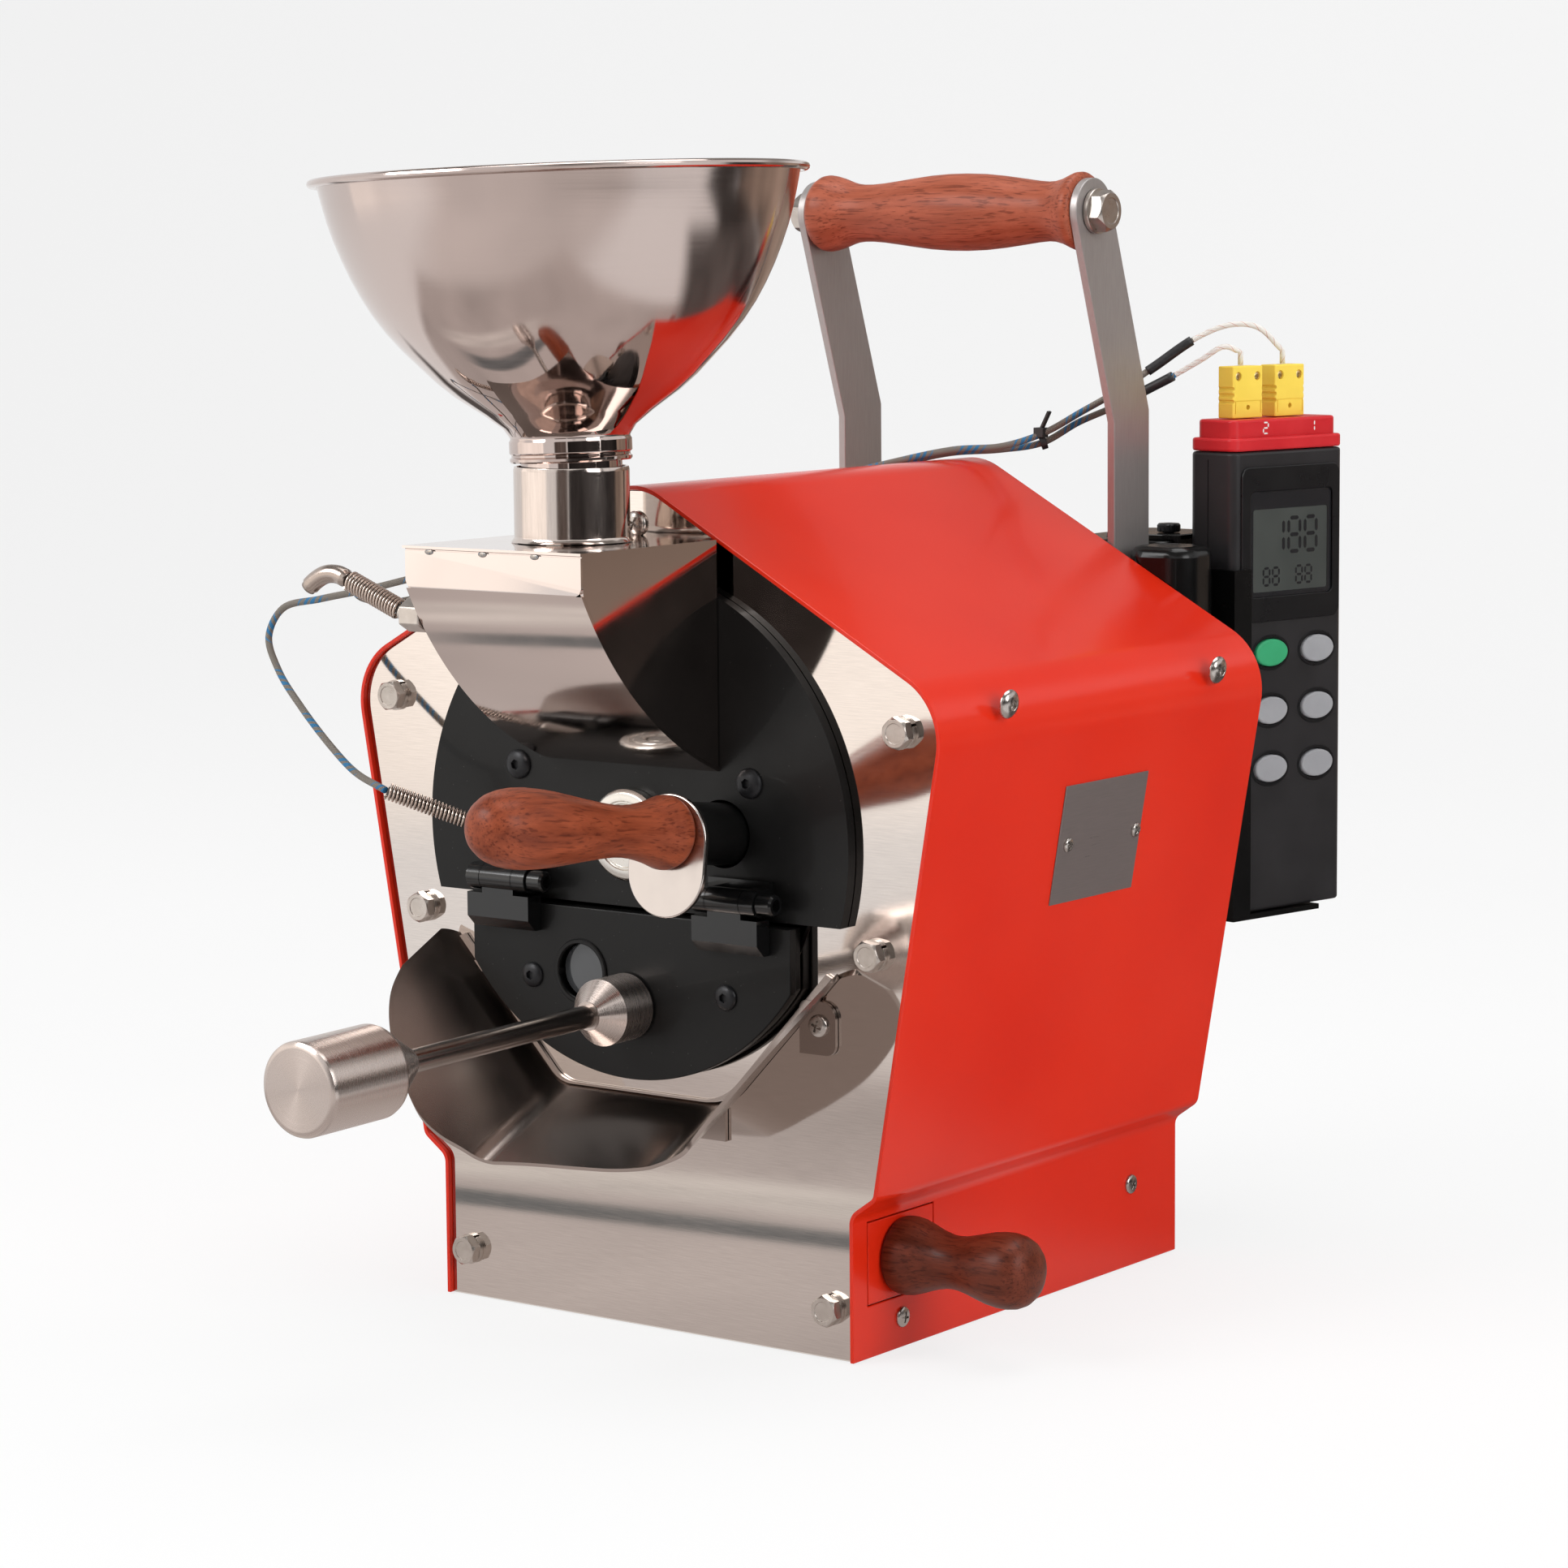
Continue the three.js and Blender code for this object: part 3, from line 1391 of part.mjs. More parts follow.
// Upper probe: a hexagon fitting on the hopper box, its sleeve spring and a bent sleeve end
const hexStart = -hopperHalf - seat;
const hexEnd = hexStart - hexLength;
const hexBody = plateYZ(hexagon(hexFlats), hexEnd, hexStart).translate(0, upperProbeY, upperProbeZ);
const springRise = point(-0.93, 0, 0.37).normalize();
const stubEnd = point(hexEnd, upperProbeY, upperProbeZ).addScaledVector(springRise, probeStub);
const stub = cylinder(
  upperSpringRadius - springWire,
  point(hexEnd + overrun, upperProbeY, upperProbeZ),
  stubEnd,
  16,
);
piece('upper_probe', join(hexBody, stub), brightSteel);
const upperSpringStart = stubEnd.clone().addScaledVector(springRise, seat);
const upperSpringEnd = upperSpringStart.clone().addScaledVector(springRise, upperSpringLength);
spring('upper_spring', upperSpringStart, upperSpringEnd, upperSpringRadius, upperSpringTurns);
const sleeveStart = upperSpringEnd.clone().addScaledVector(springRise, seat);
const sleeveOffsets = [[0, 0, 0], [-5, 0, 1.7], [-10, -0.5, 1.6], [-14.5, -1, -0.6], [-18, -1.5, -3.6]];
const sleeveCurve = new THREE.CatmullRomCurve3(sleeveOffsets.map(([x, y, z]) => sleeveStart.clone().add(point(x, y, z))));
piece('upper_sleeve', wire(sleeveCurve.getSpacedPoints(8), sleeveRadius, 10), brushedSteel);

// Lower probe: a fitting on the disc behind the trier handle, and its sleeve spring
const lowerStart = point(lowerProbeX, discFace - seat, lowerProbeZ);
const lowerRun = point(-30.5, -24, 15).normalize();
const fittingEnd = lowerStart.clone().addScaledVector(lowerRun, lowerFittingLength);
const fittingStart = lowerStart.clone().addScaledVector(lowerRun, -lowerFittingLength);
const fittingWaste = block(-baseHalf, 0, lowerStart.y, housingDepth, 0, ridgeTop);
piece('lower_probe', cut(cylinder(lowerFitting, fittingStart, fittingEnd, 16), fittingWaste), brightSteel);
const lowerSpringStart = fittingEnd.clone().addScaledVector(lowerRun, seat);
const lowerSpringEnd = lowerSpringStart.clone().addScaledVector(lowerRun, lowerLength);
spring('lower_spring', lowerSpringStart, lowerSpringEnd, lowerSpringRadius, lowerSpringTurns);

// Probe leads: hand-laid routes over the left roof slope to the two plugs
const plugSpot = (y) => point(plugX, y, meterCapTop + seat + plugHeight + seat)
  .applyAxisAngle(alongZ, -turnBy)
  .add(meter.position);
function lead(name, start, route, end, steps) {
  const above = end.clone().add(point(0, 0, leadDrop));
  const points = [start, ...route.map(([x, y, z]) => point(x, y, z)), above];
  const curve = new THREE.CatmullRomCurve3(points, false, 'centripetal');
  console.log(`${name}: length ${(curve.getLength() + leadDrop).toFixed(1)}`);
  piece(name, wire([...curve.getSpacedPoints(steps), end], leadRadius, 8), finish(0xb9b2a6, 0.7, 0.2));
}
const lowerRoute = [
  [-105, -34, 198], [-117, -33, 206], [-134, -31, 220], [-147, -29, 233], [-153, -28, 245],
  [-147, -26, 255.5], [-131, -23, 259.5], [-112, -18, 263.5], [-95, -11, 268], [-80, -3, 271.5],
  [-64, 12, 276.5], [-52, 36, 281], [-44, 70, 285.4], [-36, 105, 289.8], [-27, 140, 294.8],
  [-16, 172, 300.9], [-2, 198, 306], [12, 213, 307], [26, 221, 309.6], [38, 228, 317.4],
  [48, 240, 323.6], [58, 245, 329.5], [69, 247, 335], [80, 250.5, 341.5], [88, 254, 346.5],
];
const upperRoute = [
  [-79, -60, 266], [-80, -50, 263], [-79, -36, 262], [-76, -22, 264.5], [-69, -9, 271.5],
  [-58, 8, 279.5], [-48, 34, 283.2], [-40, 68, 287.6], [-32, 103, 292], [-23, 138, 297],
  [-12, 170, 303], [2, 195, 307.5], [15, 209.5, 308.5], [28, 219, 313.5], [40, 227, 321.5],
  [49, 240, 329.5], [60, 248, 338.5], [73, 258, 349.5], [83, 267, 354.5], [91, 274, 353.5],
];
const lowerLeadStart = lowerSpringEnd.clone().addScaledVector(lowerRun, seat);
const upperLeadY = upperProbeY + sleeveRadius + leadRadius + 2 * seat;
const upperLeadStart = point(upperLeadX, upperLeadY, upperLeadZ);
lead('lead_lower', lowerLeadStart, lowerRoute, plugSpot(plugNearY), 44);
lead('lead_upper', upperLeadStart, upperRoute, plugSpot(plugFarY), 36);

export default roaster;
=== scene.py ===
"""A countertop drum roaster for coffee beans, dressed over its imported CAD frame.
Metres, X to the right of the front plate, Y to the rear, Z up."""

import math

import bmesh
import bpy
from mathutils import Matrix, Vector


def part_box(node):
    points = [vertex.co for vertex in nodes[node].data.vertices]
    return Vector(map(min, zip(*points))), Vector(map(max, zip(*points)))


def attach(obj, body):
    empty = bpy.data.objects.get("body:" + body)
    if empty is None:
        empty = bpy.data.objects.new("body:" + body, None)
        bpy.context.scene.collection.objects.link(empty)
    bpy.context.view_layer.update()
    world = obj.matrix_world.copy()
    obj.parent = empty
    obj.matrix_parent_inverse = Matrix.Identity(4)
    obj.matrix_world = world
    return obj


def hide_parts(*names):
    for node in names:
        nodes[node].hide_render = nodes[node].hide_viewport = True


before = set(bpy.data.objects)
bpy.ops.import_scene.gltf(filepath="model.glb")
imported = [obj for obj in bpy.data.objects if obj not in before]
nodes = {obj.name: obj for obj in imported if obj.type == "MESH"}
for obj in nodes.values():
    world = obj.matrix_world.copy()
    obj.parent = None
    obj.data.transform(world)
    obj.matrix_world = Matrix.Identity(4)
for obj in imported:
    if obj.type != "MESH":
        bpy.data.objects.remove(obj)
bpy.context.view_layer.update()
bpy.ops.object.select_all(action="DESELECT")


# Camera. It stands right of the front plate, a little above the drum, and
# looks down at the roaster with a long lens.
camera_data = bpy.data.cameras.new("camera")
camera = bpy.data.objects.new("camera", camera_data)
bpy.context.scene.collection.objects.link(camera)
bpy.context.scene.camera = camera
camera_data.sensor_width = 36
camera_data.lens = 102.63
camera_data.clip_start = 0.1
right_hand = Vector((0.802611, 0.596443, -0.008433))
upward = Vector((-0.067858, 0.105341, 0.992118))
backward = right_hand.cross(upward)
stand = Matrix((right_hand, upward, backward)).transposed().to_4x4()
stand.translation = Vector((0.984532, -1.236174, 0.396071))
camera.matrix_world = stand


# Probe leads. Two glass-braid cables run from the sleeve springs at the left
# front, over the roof and behind the right strap, to the thermometer's plugs.
lead_width = 0.0026
lead_sides = 12
lead_pitch = 0.0016
lower_route = [
    (-0.0893, -0.0357, 0.1929), (-0.105, -0.034, 0.198), (-0.117, -0.033, 0.206), (-0.134, -0.031, 0.220),
    (-0.147, -0.029, 0.233), (-0.1524, -0.028, 0.245), (-0.147, -0.026, 0.2555), (-0.131, -0.023, 0.2595),
    (-0.112, -0.018, 0.2635), (-0.095, -0.011, 0.268), (-0.080, -0.003, 0.2715), (-0.064, 0.012, 0.2765),
    (-0.052, 0.036, 0.281), (-0.044, 0.070, 0.2854), (-0.036, 0.105, 0.2898), (-0.027, 0.140, 0.2948),
    (-0.016, 0.172, 0.3009), (-0.002, 0.198, 0.306), (0.012, 0.213, 0.307), (0.026, 0.221, 0.3096),
    (0.038, 0.228, 0.3174), (0.048, 0.240, 0.3236), (0.058, 0.245, 0.3295), (0.069, 0.247, 0.335),
    (0.080, 0.2505, 0.3415), (0.088, 0.254, 0.3465),
]
upper_route = [
    (-0.0785, -0.0628, 0.270), (-0.079, -0.060, 0.266), (-0.080, -0.050, 0.263), (-0.079, -0.036, 0.262),
    (-0.076, -0.022, 0.2645), (-0.069, -0.009, 0.2715), (-0.058, 0.008, 0.2795), (-0.048, 0.034, 0.2832),
    (-0.040, 0.068, 0.2876), (-0.032, 0.103, 0.292), (-0.023, 0.138, 0.297), (-0.012, 0.170, 0.303),
    (0.002, 0.195, 0.3075), (0.015, 0.2095, 0.3085), (0.028, 0.219, 0.3135), (0.040, 0.227, 0.3215),
    (0.049, 0.240, 0.3295), (0.060, 0.248, 0.3385), (0.073, 0.258, 0.3495), (0.083, 0.267, 0.3545),
    (0.091, 0.274, 0.3535),
]


def smooth_route(stops, pitch):
    """A centripetal curve through the stops, cut into even steps."""
    stops = [Vector(p) for p in stops]
    stops = [2 * stops[0] - stops[1]] + stops + [2 * stops[-1] - stops[-2]]
    fine = []
    for a, b, c, d in zip(stops, stops[1:], stops[2:], stops[3:]):
        k1, k2, k3 = ((q - p).length ** 0.5 for p, q in ((a, b), (b, c), (c, d)))
        into = ((b - a) / k1 - (c - a) / (k1 + k2) + (c - b) / k2) * k2
        out = ((c - b) / k2 - (d - b) / (k2 + k3) + (d - c) / k3) * k2
        for step in range(24):
            t = step / 24
            fine.append((2 * t**3 - 3 * t**2 + 1) * b + (t**3 - 2 * t**2 + t) * into
                        + (3 * t**2 - 2 * t**3) * c + (t**3 - t**2) * out)
    fine.append(stops[-2])
    run = [0.0]
    for p, q in zip(fine, fine[1:]):
        run.append(run[-1] + (q - p).length)
    count = max(2, round(run[-1] / pitch))
    even, i = [], 0
    for step in range(count + 1):
        want = run[-1] * step / count
        while i < len(run) - 2 and run[i + 1] < want:
            i += 1
        even.append(fine[i].lerp(fine[i + 1], (want - run[i]) / max(run[i + 1] - run[i], 1e-9)))
    return even


def length_of(path):
    return sum((q - p).length for p, q in zip(path, path[1:]))


def arc(centre, radius, first, last, steps):
    """Flat points along an arc from its first angle to its last."""
    return [(centre[0] + radius * math.cos(a), centre[1] + radius * math.sin(a))
            for a in (first + (last - first) * k / steps for k in range(steps + 1))]


def circle(count, radius=1.0, first=0.0):
    """Flat points evenly round the origin."""
    return arc((0, 0), radius, first, first + 2 * math.pi, count)[:-1]


def swept(name, path, radii, sides):
    """A round tube along a path, closed at both ends, with its UV in millimetres along and turns round."""
    mesh = bpy.data.meshes.new(name)
    work = bmesh.new()
    unwrapped = work.loops.layers.uv.new("UVMap")
    rings, side, run = [], None, [0.0]
    for i, p in enumerate(path):
        ahead = (path[min(i + 1, len(path) - 1)] - path[max(i - 1, 0)]).normalized()
        if side is None:
            side = ahead.cross(Vector((0, 0, 1)) if abs(ahead.z) < 0.9 else Vector((1, 0, 0)))
        side = (side - ahead * side.dot(ahead)).normalized()
        up = ahead.cross(side)
        radius = radii[i] if isinstance(radii, list) else radii
        rings.append([work.verts.new(p + radius * (side * a + up * b)) for a, b in circle(sides)])
        if i:
            run.append(run[-1] + (p - path[i - 1]).length)
    for i in range(len(rings) - 1):
        for k in range(sides):
            n = (k + 1) % sides
            face = work.faces.new((rings[i][k], rings[i][n], rings[i + 1][n], rings[i + 1][k]))
            face.smooth = True
            for loop, (u, v) in zip(face.loops, ((i, k), (i, k + 1), (i + 1, k + 1), (i + 1, k))):
                loop[unwrapped].uv = (run[u] * 1000, v / sides)
    work.faces.new(rings[0][::-1])
    work.faces.new(rings[-1])
    bmesh.ops.recalc_face_normals(work, faces=work.faces)
    work.to_mesh(mesh)
    work.free()
    piece = bpy.data.objects.new(name, mesh)
    bpy.context.scene.collection.objects.link(piece)
    return piece


def bare_finish(name, colour, roughness, metallic=0.0, coat=0.0, glance=0.5):
    """A shader with one colour, and its node tree, for the section that adds its detail."""
    material = bpy.data.materials.new(name)
    material.use_nodes = True
    shader = material.node_tree.nodes["Principled BSDF"]
    shader.inputs["Base Color"].default_value = (*colour, 1)
    shader.inputs["Roughness"].default_value = roughness
    shader.inputs["Metallic"].default_value = metallic
    shader.inputs["Coat Weight"].default_value = coat
    shader.inputs["Coat Roughness"].default_value = 0.06
    shader.inputs["Specular IOR Level"].default_value = glance
    return material, material.node_tree, shader


def added(tree, kind, links=None, **values):
    """One node, its plain values by socket name and its links by socket name."""
    node = tree.nodes.new("ShaderNode" + kind)
    for key, value in values.items():
        if hasattr(node, key):
            setattr(node, key, value)
        else:
            node.inputs[key.replace("_", " ")].default_value = value
    for key, source in (links or {}).items():
        tree.links.new(source, node.inputs[key])
    return node


def shades(tree, source, dark, light, low=0.3, high=0.7):
    """Two shades over a pattern's values from low to high."""
    ramp = added(tree, "ValToRGB", {"Fac": source})
    ramp.color_ramp.elements[0].position = low
    ramp.color_ramp.elements[0].color = (*dark, 1)
    ramp.color_ramp.elements[1].position = high
    ramp.color_ramp.elements[1].color = (*light, 1)
    return ramp.outputs["Color"]


def on_piece(tree):
    """A piece's Object coordinates."""
    return added(tree, "TexCoord").outputs["Object"]


def noise(tree, place, **values):
    return added(tree, "TexNoise", {"Vector": place}, **values).outputs["Fac"]


def parts_of(tree, source):
    """The X, Y and Z of a vector."""
    return added(tree, "SeparateXYZ", {"Vector": source}).outputs


def coloured(tree, shader, source):
    tree.links.new(source, shader.inputs["Base Color"])


def figured(tree, operation, *terms, kind="Math"):
    """One sum on links and plain values, and its result."""
    node = added(tree, kind, operation=operation)
    for socket, term in zip(node.inputs, terms):
        if isinstance(term, bpy.types.NodeSocket):
            tree.links.new(term, socket)
        else:
            socket.default_value = term
    return node.outputs[0]


def blended(tree, share, first, second, how="MIX"):
    """Two colours, each plain or a link, by a share."""
    blend = added(tree, "Mix", data_type="RGBA", blend_type=how)
    for place, term in ((0, share), (6, first), (7, second)):
        if isinstance(term, bpy.types.NodeSocket):
            tree.links.new(term, blend.inputs[place])
        else:
            blend.inputs[place].default_value = (*term, 1) if isinstance(term, tuple) else term
    return blend.outputs[2]


def relief(tree, shader, source, strength, depth):
    """Bump from a pattern, its depth in millimetres."""
    bump = added(tree, "Bump", {"Height": source}, Strength=strength, Distance=depth / 1000)
    tree.links.new(bump.outputs["Normal"], shader.inputs["Normal"])


def braid_finish(name, bare_from):
    """Crossed glass strands with one blue tracer, and the smooth white lead past bare_from millimetres."""
    material, tree, shader = bare_finish(name, (0.5, 0.47, 0.42), 0.75)
    along, around, _ = parts_of(tree, added(tree, "TexCoord").outputs["UV"])

    def strand(turn, fine):
        lean = figured(tree, "ADD", around, figured(tree, "MULTIPLY", along, turn))
        return figured(tree, "PINGPONG", figured(tree, "MULTIPLY", lean, fine))

    over = figured(tree, "MAXIMUM", strand(0.16, 8), strand(-0.16, 8))
    # The weave's two shades are painted shade: each strand is lighter along its middle and dark brown in the gaps
    # between strands.
    weave_with_painted_shade = shades(tree, over, (0.13, 0.11, 0.09), (0.80, 0.75, 0.67), 0.35, 0.85)
    dash = figured(tree, "PINGPONG", figured(tree, "MULTIPLY", along, 0.045))
    tracer = figured(tree, "LESS_THAN", figured(tree, "ADD", strand(0.16, 2), dash), 0.34)
    braid = blended(tree, tracer, weave_with_painted_shade, (0.02, 0.16, 0.34))
    stripe = figured(tree, "LESS_THAN", strand(-0.11, 2), 0.05)
    white = blended(tree, stripe, (0.80, 0.77, 0.72), (0.66, 0.42, 0.36))
    past = figured(tree, "GREATER_THAN", along, bare_from)
    coloured(tree, shader, blended(tree, past, braid, white))
    relief(tree, shader, over, 0.6, 0.4)
    return material


white_lead_width = 0.0021
shrink_length, shrink_radius = 0.022, 0.0019
plug_gap, plug_straight = 0.0003, 0.005
shrink_rubber, tree, shader = bare_finish("shrink_sleeve", (0.012, 0.012, 0.013), 0.5)
wrinkles = noise(tree, on_piece(tree), Scale=700.0, Detail=3.0)
coloured(tree, shader, shades(tree, wrinkles, (0.008, 0.008, 0.009), (0.018, 0.018, 0.02)))
for side, route, plug, white_length in (("lower", lower_route, "plug_near", 0.034),
                                        ("upper", upper_route, "plug_far", 0.046)):
    low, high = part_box(plug)
    plug_top = Vector(((low.x + high.x) / 2, (low.y + high.y) / 2, high.z + plug_gap))
    path = smooth_route(route + [tuple(plug_top + Vector((0, 0, plug_straight)))], lead_pitch) + [plug_top]
    sleeve_end = length_of(path) - white_length
    girths, covered, run = [], [], 0.0
    for p, q in zip([path[0]] + path, path):
        run += (q - p).length
        girths.append((lead_width if run < sleeve_end - 0.002 else white_lead_width) / 2)
        if sleeve_end - shrink_length <= run <= sleeve_end:
            covered.append(q)
    lead = swept("probe_lead_" + side, path, girths, lead_sides)
    lead.data.materials.append(braid_finish("glass_braid_" + side, sleeve_end * 1000))
    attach(lead, "housing")
    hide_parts("lead_" + side)
    sleeve = swept("shrink_sleeve_" + side, covered, shrink_radius, 16)
    sleeve.data.materials.append(shrink_rubber)
    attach(sleeve, "housing")


# Housing cover. One sheet of 1.6 mm steel bent to a house shape, gloss red
# powder coat, standing 2 mm ahead of the front plate, with a drawer window.
cover_sheet_gauge = 1.6
cover_front, cover_rear = -2, 211
cover_corners = [(93.5, 0, 0), (93.5, 51.8, 5), (103.5, 59, 5), (133.8, 233.1, 25), (0, 307.4, 25),
                 (-133.8, 233.1, 25), (-103.5, 59, 5), (-93.5, 51.8, 5), (-93.5, 0, 0)]


def mm(x, y, z):
    return Vector((x, y, z)) / 1000


def rounded(corners, arc_steps=16, closed=False):
    """A polyline's flat points with each corner (a, b, radius) turned into an arc."""
    line = []
    last = len(corners) - 1
    for i, (a, b, radius) in enumerate(corners):
        corner = Vector((a, b))
        if radius == 0 or (not closed and i in (0, last)):
            line.append(corner)
            continue
        before = (Vector(corners[i - 1][:2]) - corner).normalized()
        after = (Vector(corners[(i + 1) % len(corners)][:2]) - corner).normalized()
        half = before.angle(after) / 2
        centre = corner + (before + after).normalized() * radius / math.sin(half)
        start = corner + before * radius / math.tan(half) - centre
        sweep = math.pi - 2 * half
        turn = 1 if before.x * after.y - before.y * after.x < 0 else -1
        for k in range(arc_steps + 1):
            angle = turn * sweep * k / arc_steps
            line.append(centre + Vector((start.x * math.cos(angle) - start.y * math.sin(angle),
                                         start.x * math.sin(angle) + start.y * math.cos(angle))))
    return line


def drawn(name, points, fill=False):
    """A new piece drawn point by point as one line, closed to a face where fill is asked, in edit mode."""
    bpy.ops.object.select_all(action="DESELECT")
    bpy.ops.mesh.primitive_plane_add(size=0.001)
    piece = bpy.context.object
    piece.name = name
    bpy.ops.object.mode_set(mode="EDIT")
    bpy.ops.mesh.merge(type="CENTER")
    bpy.ops.transform.translate(value=points[0])
    for here, there in zip(points, points[1:]):
        bpy.ops.mesh.extrude_vertices_move(TRANSFORM_OT_translate={"value": there - here})
    bpy.ops.mesh.select_all(action="SELECT")
    if fill:
        bpy.ops.mesh.edge_face_add()
    return piece


def picked(*pieces):
    """These pieces alone are selected, the first of them active."""
    bpy.ops.object.select_all(action="DESELECT")
    for piece in pieces:
        piece.select_set(True)
    bpy.context.view_layer.objects.active = pieces[0]


def pulled(piece, by):
    """What is selected is extruded by a vector."""
    bpy.ops.mesh.extrude_region_move(TRANSFORM_OT_translate={"value": by})
    bpy.ops.mesh.select_all(action="SELECT")
    return piece


def closed_up(piece, angle=32):
    """Merged seams, outward faces and smooth shading below an angle."""
    bpy.context.view_layer.objects.active = piece
    bpy.ops.object.mode_set(mode="EDIT")
    bpy.ops.mesh.select_all(action="SELECT")
    bpy.ops.mesh.remove_doubles(threshold=1e-6)
    bpy.ops.mesh.normals_make_consistent(inside=False)
    bpy.ops.object.mode_set(mode="OBJECT")
    picked(piece)
    bpy.ops.object.shade_smooth_by_angle(angle=math.radians(angle))
    return piece


def shaped(piece, kind, **settings):
    """One modifier, set and applied."""
    picked(piece)
    modifier = piece.modifiers.new(kind, kind)
    for key, value in settings.items():
        setattr(modifier, key, value)
    bpy.ops.object.modifier_apply(modifier=modifier.name)
    return piece


def thickened(piece, gauge, above=0.0):
    """A sheet gets its gauge inward; its outer side is what faces up above a height."""
    if sum(f.normal.z for f in piece.data.polygons if f.center.z > above) < 0:
        piece.data.flip_normals()
    return shaped(piece, "SOLIDIFY", thickness=gauge / 1000, offset=-1)


def eased(piece, width, steps=2, angle=35):
    """Every edge sharper than an angle gets a small round, then smooth shading."""
    shaped(piece, "BEVEL", width=width / 1000, segments=steps, limit_method="ANGLE",
           angle_limit=math.radians(angle))
    closed_up(piece, 40)
    return shaped(piece, "WEIGHTED_NORMAL", keep_sharp=True, weight=100)


def pierced(piece, *forms, how="DIFFERENCE"):
    """The piece with each form taken out, or joined on or kept within as how says; the forms are used up."""
    for form in forms:
        shaped(piece, "BOOLEAN", object=form, operation=how, solver="EXACT")
        bpy.data.objects.remove(form)
    return piece


def slab(name, outline, plane, level, thickness):
    """A flat outline in plane XZ, YZ or XY, filled at one level and pulled to a thickness."""
    place = {"XZ": lambda p: mm(p[0], level, p[1]), "YZ": lambda p: mm(level, p[0], p[1]),
             "XY": lambda p: mm(p[0], p[1], level)}[plane]
    pull = {"XZ": mm(0, thickness, 0), "YZ": mm(thickness, 0, 0), "XY": mm(0, 0, thickness)}[plane]
    return closed_up(pulled(drawn(name, [place(p) for p in outline], fill=True), pull))


def bar(name, low, high):
    """A rectangular blank between two corners."""
    return slab(name, [(low[0], low[2]), (high[0], low[2]), (high[0], high[2]), (low[0], high[2])],
                "XZ", low[1], high[1] - low[1])


def fitted(piece, material, body, slot, *replaced):
    """The piece gets its finish, its body and the CAD nodes it stands for; slot is not used."""
    piece.data.materials.clear()
    piece.data.materials.append(material)
    for polygon in piece.data.polygons:
        polygon.material_index = 0
    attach(piece, body)
    if replaced:
        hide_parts(*replaced)
    return piece


def mapped(tree, source, **moves):
    """Coordinates moved, turned or squeezed."""
    return added(tree, "Mapping", {"Vector": source}, **moves).outputs["Vector"]


def patterned(tree, scale, detail=3, stretch=(1, 1, 1), rough=0.55):
    """Noise on Object coordinates; scale is features a metre, stretch squeezes it along an axis."""
    return noise(tree, mapped(tree, on_piece(tree), Scale=stretch), Scale=scale, Detail=detail, Roughness=rough)


def spread(tree, source, low, high):
    """A pattern's middle values stretched to run from low to high."""
    return added(tree, "MapRange", {"Value": source}, From_Min=0.3, From_Max=0.7,
                 To_Min=low, To_Max=high).outputs["Result"]


def finish(name, colour, roughness, tinted=None, worn=None, grained=None, **more):
    """A finish with its detail, each part over a pattern: tinted is two shades, worn the roughness
    from low to high, grained the strength and depth of the relief."""
    material, tree, shader = bare_finish(name, colour, roughness, **more)
    if tinted:
        dark, light, *pattern = tinted
        coloured(tree, shader, shades(tree, patterned(tree, *pattern), dark, light))
    if worn:
        low, high, *pattern = worn
        tree.links.new(spread(tree, patterned(tree, *pattern), low, high), shader.inputs["Roughness"])
    if grained:
        strength, depth, *pattern = grained
        relief(tree, shader, patterned(tree, *pattern), strength, depth)
    return material


red_paint = finish("red_powder_coat", (0.67, 0.021, 0.005), 0.24, coat=0.12, glance=0.28,
                   tinted=((0.64, 0.018, 0.004), (0.70, 0.025, 0.006), 9, 2), worn=(0.20, 0.27, 24),
                   grained=(0.08, 0.025, 420, 2))

skin = rounded(cover_corners)
cover = pulled(drawn("cover_sheet", [mm(p.x, cover_front, p.y) for p in skin]), mm(0, cover_rear - cover_front, 0))
thickened(closed_up(cover), cover_sheet_gauge, above=0.25)
pierced(cover, bar("drawer_window", (90, 6.6, 18.7), (96, 47.4, 48.9)))
eased(cover, 0.35)
fitted(cover, red_paint, "housing", "red_paint", "cover")


# Front and rear plates with the base frame. Polished stainless sheet inside
# the cover's ends, brushed across its width, over a folded steel base.
def brushed_finish(name, colour, smooth, coarse, stretch, depth, metallic=1.0):
    """Bare metal with fine brush lines; smooth and coarse are its roughness between the lines and in them."""
    material, tree, shader = bare_finish(name, colour, coarse, metallic)
    lines = patterned(tree, 90, 6, stretch, 0.7)
    soft = patterned(tree, 14)
    half = figured(tree, "MULTIPLY", figured(tree, "ADD", lines, soft), 0.5)
    tree.links.new(spread(tree, half, smooth, coarse), shader.inputs["Roughness"])
    dark = tuple(c * 0.86 for c in colour)
    coloured(tree, shader, shades(tree, lines, dark, colour))
    relief(tree, shader, lines, 0.12, depth)
    return material


def drawn_out(material, tangent, amount):
    """Reflections are drawn out across the tool marks, which follow the tangent."""
    shader = material.node_tree.nodes["Principled BSDF"]
    material.node_tree.links.new(tangent, shader.inputs["Tangent"])
    shader.inputs["Anisotropic"].default_value = amount
    shader.inputs["Anisotropic Rotation"].default_value = 0.25


def refinished(material, *names):
    """CAD nodes that keep their shape get a finish."""
    for name in names:
        nodes[name].data.materials.clear()
        nodes[name].data.materials.append(material)


plate_steel = brushed_finish("polished_plate_steel", (0.72, 0.65, 0.605), 0.03, 0.075, (1, 12, 30), 0.01)
drawn_out(plate_steel, added(plate_steel.node_tree, "CombineXYZ", X=1.0).outputs["Vector"], 0.8)
refinished(plate_steel, "front_plate", "rear_plate")
folded_steel = brushed_finish("folded_base_steel", (0.52, 0.50, 0.48), 0.30, 0.42, (1, 1, 1), 0.02)
refinished(folded_steel, "base_frame", "drawer_runner")


